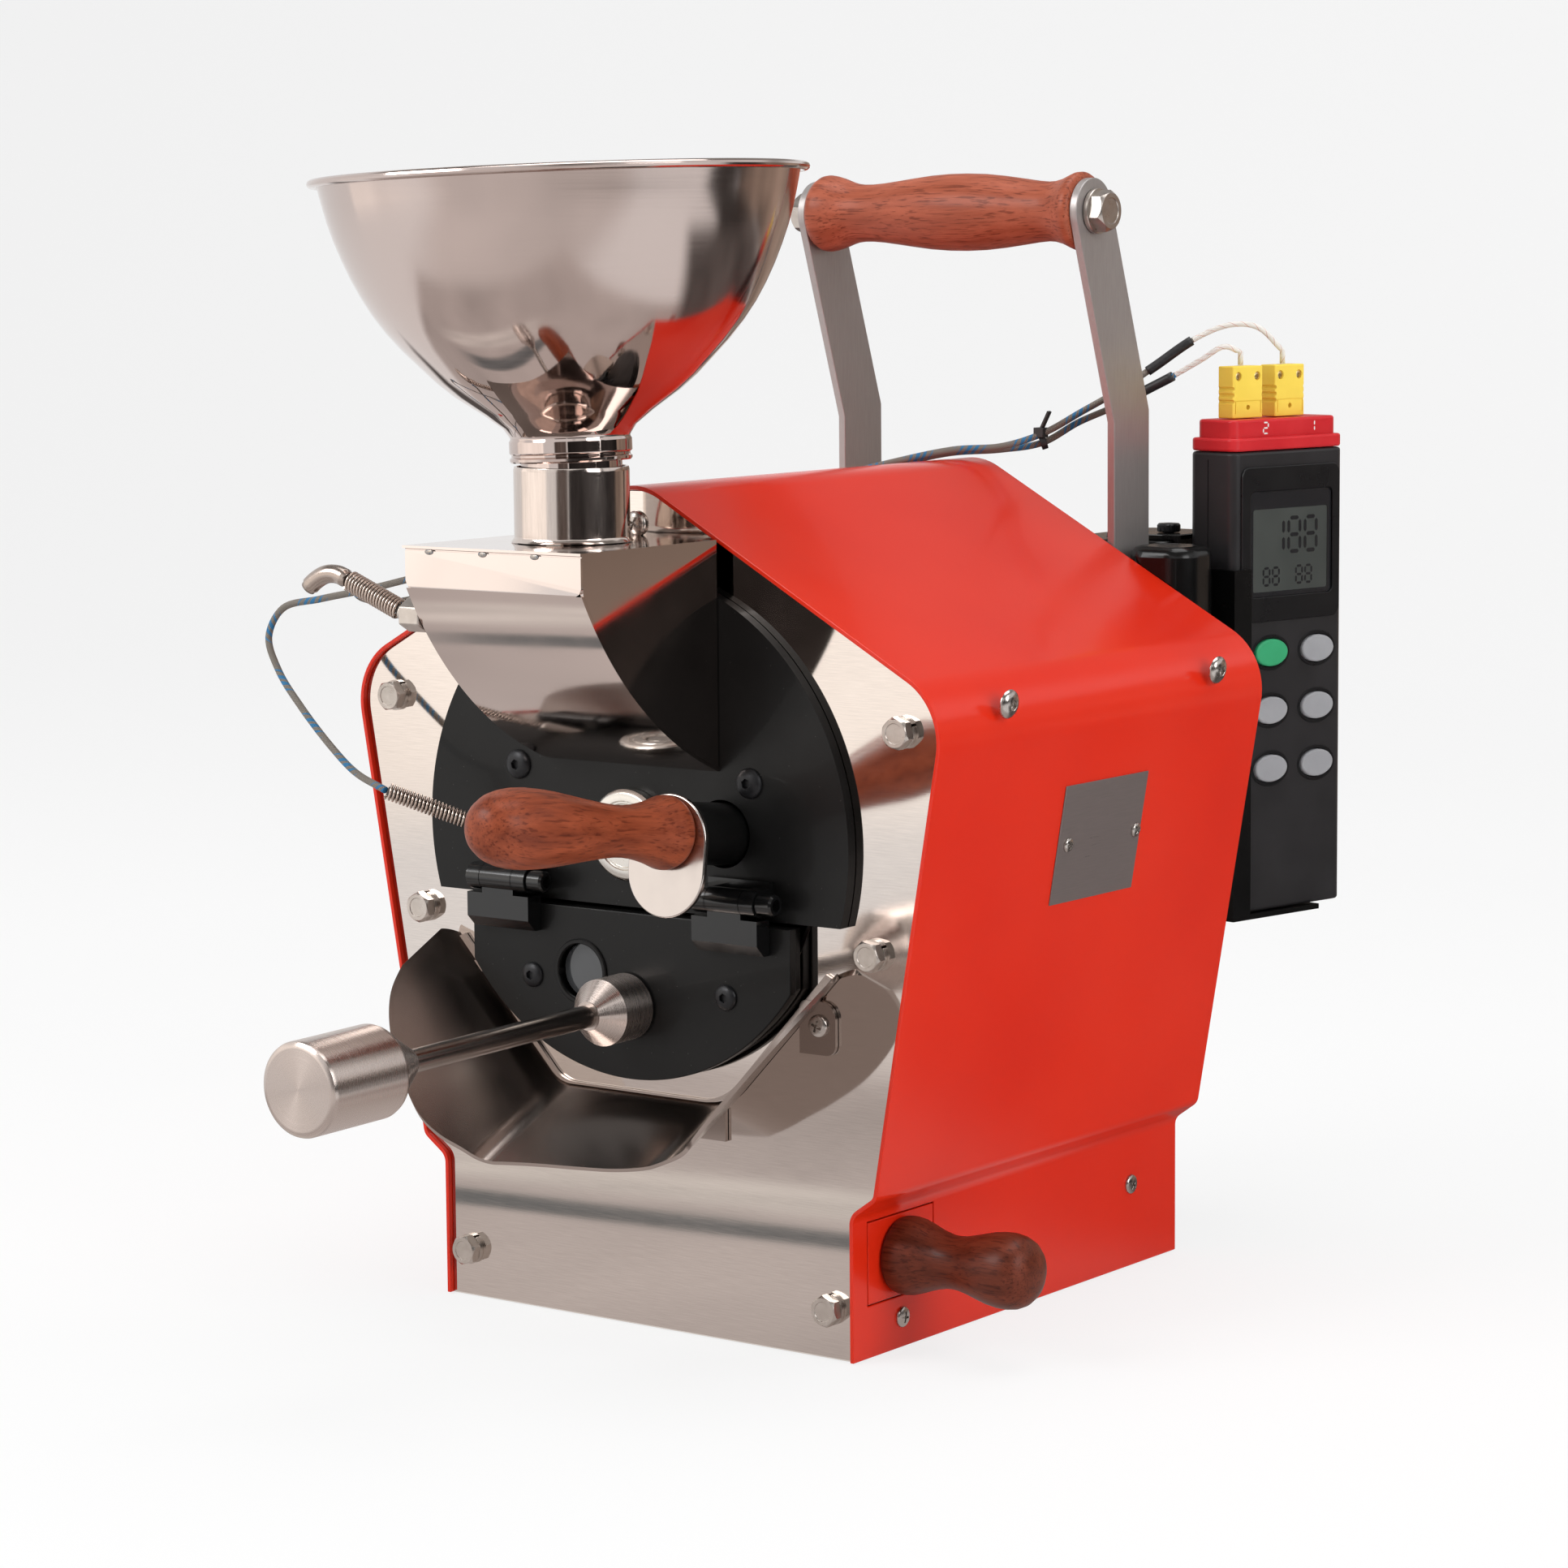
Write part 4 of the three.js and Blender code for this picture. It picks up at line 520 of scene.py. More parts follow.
# Plate bolts. Six M6 hexagon bolts a plate, each on a split spring washer, hold
# both plates to the housing's posts, and one cross-head screw the front ridge.
bolt_places = [(x * side, z) for x, z in ((114.5, 223), (102, 145), (82.7, 17.8)) for side in (-1, 1)]
bolt_flats, bolt_height = 10, 4
washer_out, washer_in, washer_thick = 5.6, 3.1, 1.5
bolt_steel = finish("bolt_steel", (0.52, 0.47, 0.43), 0.3, metallic=1.0,
                    tinted=((0.48, 0.43, 0.39), (0.56, 0.51, 0.47), 300), worn=(0.26, 0.38, 260, 4))


def spun(name, profile, start, axis, steps=64, angle=32):
    """A turned piece: pairs of radius and distance along an axis from a start, in millimetres."""
    axis = Vector(axis).normalized()
    side = axis.orthogonal().normalized()
    start = Vector(start) / 1000
    drawn(name, [start + (axis * d + side * r) / 1000 for r, d in profile])
    bpy.ops.mesh.spin(steps=steps, angle=2 * math.pi, center=start, axis=axis)
    return closed_up(bpy.context.object, angle)


def joined(name, *pieces):
    """Several forms as one piece."""
    picked(*pieces)
    if len(pieces) > 1:
        bpy.ops.object.join()
    pieces[0].name = name
    return pieces[0]


def copied(piece, name, *moves):
    """Copies of one piece, each with its own mesh, moved by a matrix and joined."""
    copies = []
    for move in moves:
        copy = piece.copy()
        copy.data = piece.data.copy()
        bpy.context.scene.collection.objects.link(copy)
        copy.data.transform(move)
        copies.append(copy)
    bpy.data.objects.remove(piece)
    return joined(name, *copies)


def hexagon_head(name, centre, out, flats, height):
    """A hexagon head on a face: a six-sided blank turned to a chamfer and a shallow dish on its outer end."""
    out, up = Vector(out), Vector((0, 0, 1))
    across = up.cross(out).normalized()
    centre = Vector(centre)
    corner = flats / math.sqrt(3)
    rim = [(centre + across * a + up * b) / 1000 for a, b in circle(6, corner, math.radians(18))]
    head = closed_up(pulled(drawn(name, rim, fill=True), out * height / 1000))
    turned = spun("chamfer", [(0, -1), (corner + 1, -1), (corner + 1, height * 0.55), (corner, height * 0.72),
                              (flats * 0.48, height), (flats * 0.36, height - 0.02), (flats * 0.34, height - 0.3),
                              (0, height - 0.35)], centre, out, 48)
    return eased(pierced(head, turned, how="INTERSECT"), 0.12, 1, 30)


def split_washer(name, centre, out, outer, inner, thick):
    """A spring washer: a ring with a slanted cut through it."""
    ring = spun(name, [(inner, 0), (outer, 0), (outer, thick), (inner, thick), (inner, 0)], centre, out, 40)
    gap = bar("split", (-0.5, -outer - 1, 0), (0.5, outer + 1, outer + 1))
    gap.data.transform(Matrix.Rotation(math.radians(24), 4, "Y"))
    turn = Vector((0, -1, 0)).rotation_difference(Vector(out)).to_matrix().to_4x4()
    gap.data.transform(Matrix.Translation(Vector(centre) / 1000) @ turn)
    return eased(pierced(ring, gap), 0.12, 1)


bolt = joined("front_bolt", hexagon_head("head", (0, -washer_thick, 0), (0, -1, 0), bolt_flats, bolt_height),
              split_washer("washer", (0, 0, 0), (0, -1, 0), washer_out, washer_in, washer_thick))
turns = (8, 35, -14, 27, 3, -22)
rear_face = 209
bolts = copied(bolt, "plate_bolts", *[
    Matrix.Translation(mm(x, face, z)) @ Matrix.Rotation(about, 4, "Z") @ Matrix.Rotation(math.radians(turn), 4, "Y")
    for face, about in ((0, 0), (rear_face, math.pi)) for (x, z), turn in zip(bolt_places, turns)])
fitted(bolts, bolt_steel, "housing", "bright_steel")


def cross_screw(name, radius, rise, slot=0.9):
    """A domed cross-recess head, facing -Y from the origin."""
    dome = [(0, 0), (radius, 0), (radius, rise * 0.3)]
    for k in range(1, 7):
        a = math.radians(15 * k)
        dome.append((radius * math.cos(a) if k < 6 else 0, rise * (0.3 + 0.7 * math.sin(a))))
    head = spun(name, dome, (0, 0, 0), (0, -1, 0), 40)
    arms = [bar("arm", (-radius * 0.55, -rise - 1, -slot / 2), (radius * 0.55, -rise * 0.35, slot / 2)),
            bar("arm", (-slot / 2, -rise - 1, -radius * 0.55), (slot / 2, -rise * 0.35, radius * 0.55))]
    return eased(pierced(head, *arms), 0.06, 1, 40)


def seated(x, y, z, turn=0.0):
    """From a head that faces -Y at the origin to its place on the front, turned about its own axis."""
    return Matrix.Translation(mm(x, y, z)) @ Matrix.Rotation(turn, 4, "Y")


screw_steel = finish("screw_steel", (0.50, 0.46, 0.43), 0.2, metallic=1.0, worn=(0.14, 0.32, 700))
ridge_screw = copied(cross_screw("ridge", 4.6, 2.4), "ridge_screw",
                     seated(0, 0, 290.3, 0.5))
fitted(ridge_screw, screw_steel, "housing", "bright_steel")


# Side screws and name plate. Two socket button heads hold the cover to the
# drum frame and two cross heads hold it to the base; a bare plate sits between.
(knee_x, knee_z, _), (eave_x, eave_z, _) = cover_corners[2:4]
side_lean = math.atan2(eave_x - knee_x, eave_z - knee_z)


def on_side(y, z, spin=0.0):
    """From a head that faces -Y at the origin to the leaning right side of the cover."""
    leans = z > knee_z
    x = knee_x + (z - knee_z) * math.tan(side_lean) if leans else cover_corners[0][0]
    lean = Matrix.Rotation(side_lean if leans else 0.0, 4, "Y")
    return (Matrix.Translation(mm(x, y, z)) @ lean @ Matrix.Rotation(math.pi / 2, 4, "Z")
            @ Matrix.Rotation(spin, 4, "Y"))


def socket_button(name, radius, rise, key):
    """A button head with a hexagon socket, facing -Y from the origin."""
    dome = [(0, 0), (radius, 0), (radius, 0.3)]
    dome += [(radius * math.cos(math.radians(12 * k)), 0.3 + (rise - 0.3) * math.sin(math.radians(12 * k)))
             for k in range(1, 6)]
    dome += [(0, rise * 0.98)]
    head = spun(name, dome, (0, 0, 0), (0, -1, 0), 48)
    rim = [mm(a, -rise - 1, b) for a, b in circle(6, key)]
    socket = closed_up(pulled(drawn("socket", rim, fill=True), mm(0, rise * 0.65 + 1, 0)))
    return eased(pierced(head, socket), 0.08, 1, 40)


side_buttons = copied(socket_button("side_button", 5.2, 2.9, 2.0), "side_button_screws",
                      on_side(36, 230.5, 0.3), on_side(174, 230.5, 0.1))
fitted(side_buttons, screw_steel, "housing", "bright_steel")
side_crosses = copied(cross_screw("side_cross", 3.7, 1.7, 0.8), "side_cross_screws",
                      on_side(27.5, 11, 0.2), on_side(178.4, 31.7, 0.7))
fitted(side_crosses, screw_steel, "housing", "bright_steel")

plate_middle, plate_half, plate_gauge = (108.8, 175), (27.2, 22), 0.5
plate_blank = bar("name_plate", (-plate_half[0], -plate_gauge, -plate_half[1]), (plate_half[0], 0, plate_half[1]))
plate_blank.data.transform(on_side(*plate_middle))
bare_plate = brushed_finish("bare_plate_steel", (0.23, 0.19, 0.18), 0.26, 0.42, (1, 1, 24), 0.02, 0.45)
fitted(eased(plate_blank, 0.12, 1), bare_plate, "housing", "bright_steel")
plate_screws = copied(cross_screw("plate_cross", 2.7, 1.5, 0.7), "name_plate_screws",
                      on_side(87.7, 174.8, 0.2), on_side(132.5, 175.2, 0.9))
plate_screws.data.transform(Matrix.Translation(mm(plate_gauge, 0, 0)))
fitted(plate_screws, screw_steel, "housing", "bright_steel")


# Face disc and front bearing. A thick black-painted disc, cut flat under the
# drum's middle, with two socket screws and the shaft's stainless bearing.
disc_centre, disc_radius, disc_cut = 180, 94.5, 153.7
disc_front, disc_back = -4.5, -0.3


def rod(name, radius, low, high, start, axis, steps=64):
    """A plain round bar between two distances along an axis."""
    return spun(name, [(0, low), (radius, low), (radius, high), (0, high)], start, axis, steps)


black_paint = finish("satin_black_paint", (0.004, 0.004, 0.004), 0.34, coat=0.06, glance=0.22,
                     worn=(0.30, 0.46, 45, 4), grained=(0.25, 0.08, 650))
tree = black_paint.node_tree
specks = added(tree, "TexVoronoi", {"Vector": on_piece(tree)}, Scale=330.0)
dust = shades(tree, specks.outputs["Distance"], (0.07, 0.066, 0.063), (0.0042, 0.004, 0.004), 0.035, 0.06)
coloured(tree, tree.nodes["Principled BSDF"], dust)
half_cut = math.asin((disc_cut - disc_centre) / disc_radius)
disc_rim = arc((0, disc_centre), disc_radius, half_cut, math.pi - half_cut, 110)
disc = slab("face_disc_plate", disc_rim, "XZ", disc_front, disc_back - disc_front)
pierced(disc, bar("inlet", (-28, disc_front - 1, 212), (28, 1, 236)),
        rod("shaft_hole", 8, 0, 8, (0, 2, disc_centre), (0, -1, 0)),
        rod("trier_hole", 12.1, 0, 8, (40, 2, 183), (0, -1, 0)))
fitted(eased(disc, 0.5, 3), black_paint, "housing", "black_paint", "face_disc")

black_screw = finish("black_socket_screw", (0.02, 0.02, 0.022), 0.38, metallic=0.6, worn=(0.3, 0.5, 600))
disc_screws = copied(socket_button("disc_button", 5.4, 2.7, 1.9), "face_disc_screws", *[
    seated(x, disc_front, 201.7, 0.3) for x in (-52.3, 52.3)])
fitted(disc_screws, black_screw, "housing", "black_paint")

bearing_steel = finish("turned_bearing_steel", (0.66, 0.63, 0.59), 0.2, metallic=1.0, worn=(0.12, 0.3, 300, 4))
ring_profile = [(6.3, 0), (16.5, 0), (16.5, 3.6), (15.6, 4.7), (14.9, 5), (12.6, 5), (12.1, 4.4), (11.6, 4.4),
                (11.1, 4.9), (7.2, 4.9), (6.3, 4.2), (6.3, 0)]
for name, seat, out in (("front_bearing", -4.8, -1), ("rear_bearing", 209.3, 1)):
    fitted(spun(name + "_ring", ring_profile, (0, seat, disc_centre), (0, out, 0), 72), bearing_steel, "housing",
           "bright_steel", name)


# Drum and its drive. A rolled iron shell with welded vanes on a ground shaft,
# and a cut steel gear pair behind the rear plate.
drum_iron = finish("heat_dulled_iron", (0.11, 0.098, 0.09), 0.55, metallic=0.9,
                   tinted=((0.07, 0.06, 0.055), (0.17, 0.145, 0.13), 35, 6), grained=(0.3, 0.1, 250, 5))
refinished(drum_iron, "drum_shell")
shaft = spun("drum_shaft_turned", [(0, 0), (5.2, 0), (6, 0.8), (6, 234.3), (5.2, 235.1), (0, 235.1)],
             (0, -8.8, disc_centre), (0, 1, 0), 48)
ground_steel = brushed_finish("ground_shaft_steel", (0.60, 0.58, 0.55), 0.16, 0.28, (1, 14, 1), 0.01)
fitted(shaft, ground_steel, "drum", "grey_steel", "drum_shaft")
gear_steel = brushed_finish("cut_gear_steel", (0.42, 0.40, 0.38), 0.28, 0.42, (1, 1, 1), 0.03)
refinished(gear_steel, "drive_gear", "motor_pinion", "motor")


# Hopper box. Mirror stainless sheet: a flat top, a short front lip and one
# curved sheet down to the disc, closed by two side walls and open behind.
hopper_half, hopper_top, hopper_gauge = 39, 286.2, 1.2
hopper_reach, lip_bottom, hopper_back, hopper_foot, sweep_radius = 79.5, 272, -4.8, 205, 141.6
mirror_steel = finish("mirror_steel", (0.69, 0.60, 0.56), 0.08, metallic=1.0, worn=(0.045, 0.13, 30, 5),
                      grained=(0.03, 0.5, 9, 1))


def sweep_line(inset, count=28):
    """The curved sheet's line in Y and Z, from the lip to the disc."""
    top = Vector((-hopper_reach + inset, lip_bottom))
    foot = Vector((hopper_back, hopper_foot + inset))
    chord, radius = foot - top, sweep_radius - inset
    rise = math.sqrt(radius ** 2 - chord.length_squared / 4)
    centre = (top + foot) / 2 + Vector((-chord.y, chord.x)).normalized() * rise
    start = math.atan2(top.y - centre.y, top.x - centre.x)
    end = math.atan2(foot.y - centre.y, foot.x - centre.x)
    span = (end - start) % (2 * math.pi)
    return arc(centre, radius, start, start + span, count)


bend = 1.6
folded = rounded([(hopper_back, hopper_top, 0), (-hopper_reach, hopper_top, bend), (-hopper_reach, lip_bottom, 0)], 5)
outer_line = folded[:-1] + sweep_line(0)
wrap = pulled(drawn("hopper_wrap", [mm(-hopper_half, p[0], p[1]) for p in outer_line]), mm(2 * hopper_half, 0, 0))
thickened(closed_up(wrap), hopper_gauge, above=0.286)
pierced(wrap, rod("mouth", 19, 0, 9, (0, -36, hopper_top - 5), (0, 0, 1)))
inner_line = [Vector((hopper_back, hopper_top - hopper_gauge)),
              Vector((-hopper_reach + hopper_gauge, hopper_top - hopper_gauge))] + sweep_line(hopper_gauge)
walls = [slab("hopper_wall", inner_line, "YZ", side, hopper_gauge)
         for side in (-hopper_half, hopper_half - hopper_gauge)]
tongue = bar("hopper_tongue", (-32, hopper_back, hopper_top - hopper_gauge), (32, -0.3, hopper_top))
pierced(wrap, bar("front_seam", (-45, -82, 284.55), (45, -78.9, 284.95)),
        *[slab("lip_corner", [(side * 40, 271.5), (side * 36.5, 271.5), (side * 38.2, 272.4), (side * 39.2, 274.5),
                              (side * 40, 276)], "XZ", -84, 7) for side in (-1, 1)])
cover_plate = slab("cover_plate", [(-39.6, -80.3), (39.6, -80.3), (39.6, -42), (-39.6, -42)], "XY", 285.3, 0.9)
pierced(cover_plate, rod("mouth", 20.3, 0, 9, (0, -36, hopper_top - 5), (0, 0, 1)))
hopper = eased(joined("hopper_box_sheet", wrap, *walls, tongue, cover_plate), 0.25)
fitted(hopper, mirror_steel, "housing", "bright_steel", "hopper_box")
weld = spun("weld", [(0, 0), (1.5, 0), (1.35, 0.3), (0.8, 0.5), (0, 0.6)], (0, 0, 0), (0, -1, 0), 24)
welds = copied(weld, "lip_weld_spots", *[Matrix.Translation(mm(x, -79.5, 284.3)) @ Matrix.Diagonal((1.3, 1, 0.7, 1))
                                         for x in (-28, -4, 19)])
weld_blue = finish("weld_blue", (0.3, 0.27, 0.25), 0.4, metallic=0.8,
                   tinted=((0.16, 0.19, 0.23), (0.50, 0.42, 0.34), 1200))
fitted(welds, weld_blue, "housing", "bright_steel")


# Inlet tube and funnel. A stainless tube welded to the hopper box takes the
# spigot of a spun, polished bowl with a rolled rim and a stepped collar.
tube_out, tube_in, tube_y, tube_low = 20.2, 19, -36, 286.5
tube_steel = brushed_finish("drawn_tube_steel", (0.68, 0.59, 0.54), 0.08, 0.2, (14, 14, 1), 0.01)
tube_profile = [(tube_in, 0), (tube_out + 1.1, 0), (tube_out + 0.5, 0.7), (tube_out, 1.6), (tube_out, 1.9),
                (tube_out, 24.5), (tube_out, 24.8), (tube_out - 0.3, 25.9), (tube_in + 0.2, 25.9), (tube_in, 25.6),
                (tube_in, 0)]
fitted(spun("inlet_tube_drawn", tube_profile, (0, tube_y, tube_low), (0, 0, 1), 96), tube_steel,
       "housing", "bright_steel", "inlet_tube")


def rings_about(material, start, axis):
    """The direction of lathe marks round an axis, in metres on Object coordinates."""
    tree = material.node_tree
    apart = figured(tree, "SUBTRACT", on_piece(tree), start, kind="VectorMath")
    around = figured(tree, "CROSS_PRODUCT", apart, axis, kind="VectorMath")
    return figured(tree, "NORMALIZE", around, kind="VectorMath")


funnel_seat, funnel_lean = (0, tube_y, 314.1), math.radians(-2.2)
funnel_axis = (math.sin(funnel_lean), 0, math.cos(funnel_lean))
bowl_skin = [(21.4, 9.4), (21.9, 10.1), (23.3, 12.1), (29.8, 17.0), (39.3, 23.5), (45.3, 28.6), (50.6, 34.0),
             (56.5, 40.0), (62.0, 46.5), (66.3, 52.6), (70.0, 59.0), (73.2, 65.4), (76.0, 72.0), (78.4, 78.4),
             (80.3, 84.6), (81.8, 90.6), (83.0, 96.0)]
rim_bead = [(84.9 + 1.75 * math.cos(math.radians(a)), 98.1 + 1.5 * math.sin(math.radians(a)))
            for a in range(-150, 121, 30)]
collar = [(16.7, -20), (17.7, -20), (17.7, -0.2), (18.2, 0), (20.9, 0), (21.3, 0.5), (21.4, 1.4), (20.7, 2.0),
          (20.7, 2.6), (21.3, 3.2), (21.4, 3.4), (21.4, 3.6), (21.4, 7.1), (21.4, 7.3), (20.9, 8.1), (20.9, 8.6)]
inner_skin = [(r - 1.0, z + 0.5) for r, z in reversed(bowl_skin[2:])]
funnel_profile = collar + bowl_skin + rim_bead + inner_skin + [(19.6, 10.6), (16.7, 9.4), (16.7, -20)]
spun_steel, tree, shader = bare_finish("spun_bowl_steel", (0.57, 0.475, 0.44), 0.1, metallic=1.0)
rings = noise(tree, mapped(tree, on_piece(tree), Rotation=(0, -funnel_lean, 0), Scale=(1, 1, 60)),
              Scale=26.0, Detail=3.0)
height = parts_of(tree, on_piece(tree))["Z"]
polish = added(tree, "MapRange", {"Value": height}, interpolation_type="SMOOTHSTEP", From_Min=0.345, From_Max=0.38,
               To_Min=0.03, To_Max=0.13).outputs["Result"]
tree.links.new(figured(tree, "ADD", polish, spread(tree, rings, -0.01, 0.02)), shader.inputs["Roughness"])
drawn_out(spun_steel, rings_about(spun_steel, mm(*funnel_seat), funnel_axis), 0.85)
funnel = spun("funnel_spun", funnel_profile, funnel_seat, funnel_axis, 128)
fitted(funnel, spun_steel, "funnel", "bright_steel", "funnel")


# Trier. A black guide tube through the disc, a polished finger plate, and the
# sampling scoop with its oiled hardwood handle, which slides and turns in it.
trier_start, trier_tilt = Vector((40, -4.5, 183)), math.radians(7.5)
trier_out = Vector((0, -math.cos(trier_tilt), math.sin(trier_tilt)))
trier_up = Vector((0, math.sin(trier_tilt), math.cos(trier_tilt)))


def on_trier(distance):
    return trier_start + trier_out * distance


def wood_finish(name, axis_turn, dark, light, offset=(0, 0, 0)):
    """Oiled hardwood: long wavering grain and short dark pores along the piece's own length."""
    material, tree, shader = bare_finish(name, light, 0.45, coat=0.03, glance=0.2)
    place = mapped(tree, on_piece(tree), Rotation=axis_turn, Location=offset)
    grain = noise(tree, mapped(tree, place, Scale=(0.10, 1, 1)), Scale=210.0, Detail=6.0, Roughness=0.66,
                  Distortion=0.3)
    pore = noise(tree, mapped(tree, place, Scale=(0.06, 1, 1)), Scale=1300.0, Detail=2.0)
    colour = shades(tree, grain, dark, light, 0.32, 0.68)
    fleck = shades(tree, pore, (0.55, 0.48, 0.45), (1, 1, 1), 0.34, 0.46)
    coloured(tree, shader, blended(tree, 1, colour, fleck, "MULTIPLY"))
    tree.links.new(spread(tree, grain, 0.34, 0.50), shader.inputs["Roughness"])
    relief(tree, shader, pore, 0.25, 0.12)
    return material


guide = spun("trier_guide", [(9.7, 0), (11, 0), (11, 42.3), (10.6, 42.9), (10.6, 43.2), (9.7, 43.2), (9.7, 0)],
             on_trier(-14.7), trier_out, 64)
fitted(guide, black_paint, "housing", "black_paint", "trier_tube")

plate_low, finger_end = 28.8, 16.5
finger_rim = (arc((0, -3), finger_end, 0, math.pi, 36) + arc((0, -13), finger_end, math.pi, 2 * math.pi, 36))
finger = closed_up(pulled(drawn("trier_finger_plate", [
    (on_trier(plate_low) + Vector((a, 0, 0)) + trier_up * b) / 1000 for a, b in finger_rim], fill=True),
    trier_out * 0.0022))
pierced(finger, rod("hole", 8.9, 0, 9, on_trier(plate_low - 3), trier_out, 48))
finger_steel = finish("finger_plate_steel", (0.55, 0.50, 0.475), 0.16, metallic=1.0, worn=(0.12, 0.24, 120, 5))
fitted(eased(finger, 0.45, 3), finger_steel, "trier", "bright_steel", "trier_flange")

handle_start = 31.3
handle_line = [(0, 0), (11.6, 0), (12.6, 0.5), (13.0, 1.8), (12.9, 3.4), (12.1, 6.2), (11.1, 10), (10.2, 14.5),
               (9.4, 19.5), (9.0, 24.5), (9.0, 29.5), (9.3, 34.5), (9.9, 40.5), (10.8, 48), (11.8, 56), (12.8, 64),
               (13.4, 71), (13.7, 78.5), (13.5, 84), (12.9, 88.4), (11.8, 92.5), (10.0, 96), (7.6, 98.8), (4.4, 100.5),
               (0, 101)]
trier_wood = wood_finish("trier_handle_wood", (trier_tilt, 0, math.pi / 2), (0.15, 0.027, 0.010), (0.33, 0.072, 0.028))
handle = spun("trier_handle_turned", handle_line, on_trier(handle_start), trier_out, 72, 60)
fitted(handle, trier_wood, "scoop", "wood", "trier_handle")
refinished(ground_steel, "trier_scoop")


# Discharge chute. Mirror stainless sheet folded to a floor and two flared
# flanks, held by two tabs with cross-head screws and left with an open seam.
chute_half, chute_top, chute_gauge = 38, 85.7, 1.5
chute_slope, chute_spread = math.radians(26), math.radians(46.7)
downhill = Vector((0, -math.cos(chute_slope), -math.sin(chute_slope)))
flank_reach, flank_height = 63.6, 76
flank_shares = [(0.86, -0.05), (0.95, 0.03), (1.0, 0.10), (1.03, 0.25), (0.985, 0.54), (0.92, 0.69), (0.765, 0.84),
                (0.52, 0.95), (0.38, 0.97), (0.25, 0.93), (0.12, 0.85)]
flank_out = Vector((math.cos(chute_spread), 0, math.sin(chute_spread)))
sheet_up = Vector((1, 0, 0)).cross(downhill).normalized()
sheet_up = -sheet_up if sheet_up.z < 0 else sheet_up
left_fold, right_fold = 13, 24


def on_chute(across, along, lift=0.0):
    """A point by its reach across the floor, its way downhill and its lift off the floor's plane."""
    return Vector((across, 0, chute_top)) + downhill * along + sheet_up * lift


flank_flat, flank_lift = flank_height * math.cos(chute_spread), flank_height * flank_out.dot(sheet_up)
flank_back = flank_height * flank_out.dot(downhill)
fold = rounded([(-chute_half - flank_flat, flank_lift, 0), (-chute_half, 0, left_fold),
                (chute_half, 0, right_fold), (chute_half + flank_flat, flank_lift, 0)], 16)
skew = flank_back / flank_lift
fold_line = [on_chute(p.x, p.y * skew - 2, p.y) / 1000 for p in fold]
sheet = pulled(drawn("chute_sheet", fold_line), downhill * (flank_reach + 4) / 1000)
thickened(closed_up(sheet, 50), chute_gauge)
right_shares = flank_shares[:6] + [(0.765, 0.80), (0.52, 0.81), (0.3, 0.71), (0.12, 0.59)]
rim_stops = [(chute_half + s * flank_flat, u * flank_reach + s * flank_back, 0) for s, u in right_shares]
rim_stops += [(36, 35.6, 0), (28, 40, 0), (17, 43.2, 0), (2, 45, 0), (-14, 46.4, 0), (-30, 48.4, 0)]
rim_stops += [(-chute_half - s * flank_flat, u * flank_reach + s * flank_back, 0) for s, u in reversed(flank_shares)]
blank_line = [(-120, -40), (120, -40)] + [(p.x, p.y) for p in smooth_route(rim_stops, 1.4)]
blank = drawn("chute_blank", [on_chute(x, y, -30) / 1000 for x, y in blank_line], fill=True)
blank = closed_up(pulled(blank, sheet_up * 0.14))
pierced(sheet, blank, how="INTERSECT")
pierced(sheet, bar("wall_side", (-140, -0.3, 0), (140, 30, 300)))
tabs = [bar("tab", (19, -1.8, 72.5), (38, -0.3, 84)),
        slab("tab", rounded([(71, 108, 0), (86.5, 108, 4), (86.5, 127, 6), (71, 127, 3)], 8, closed=True),
             "XZ", -1.8, 1.5),
        bar("tab", (-87, -1.8, 111), (-74, -0.3, 127))]
flank_tip = (chute_half + 0.9 * flank_flat, chute_top + 0.9 * flank_height * flank_out.z)
flange = [(side * x, z, r) for side, x, z, r in ((-1, *flank_tip, 0), (-1, chute_half, chute_top, left_fold),
                                                 (1, chute_half, chute_top, right_fold), (1, *flank_tip, 0))]
flange_edge = [(side * x, z, r) for side, x, z, r in (
    (1, flank_tip[0] - 2.6, flank_tip[1] + 1.2, 0), (1, chute_half - 1.4, chute_top + 0.9, right_fold),
    (-1, chute_half - 1.4, chute_top + 0.9, left_fold), (-1, flank_tip[0] - 2.6, flank_tip[1] + 1.2, 0))]
tabs.append(slab("flange", [tuple(p) for p in rounded(flange) + rounded(flange_edge)], "XZ", -1.5, 1.2))
chute = eased(joined("chute_sheet", sheet, *tabs), 0.3, 2, 50)
chute_steel = finish("chute_steel", (0.40, 0.34, 0.31), 0.2, metallic=1.0, worn=(0.16, 0.25, 22, 5),
                     grained=(0.04, 0.01, 500, 3, (1, 0.1, 1)))
fitted(chute, chute_steel, "housing", "bright_steel", "chute")
tab_screw = copied(cross_screw("tab_screw", 4.0, 2.2), "chute_tab_screws",
                   seated(79.5, -1.8, 118.4, 0.35), seated(-79.5, -1.8, 118.4, 0.9))
fitted(tab_screw, screw_steel, "housing", "bright_steel")


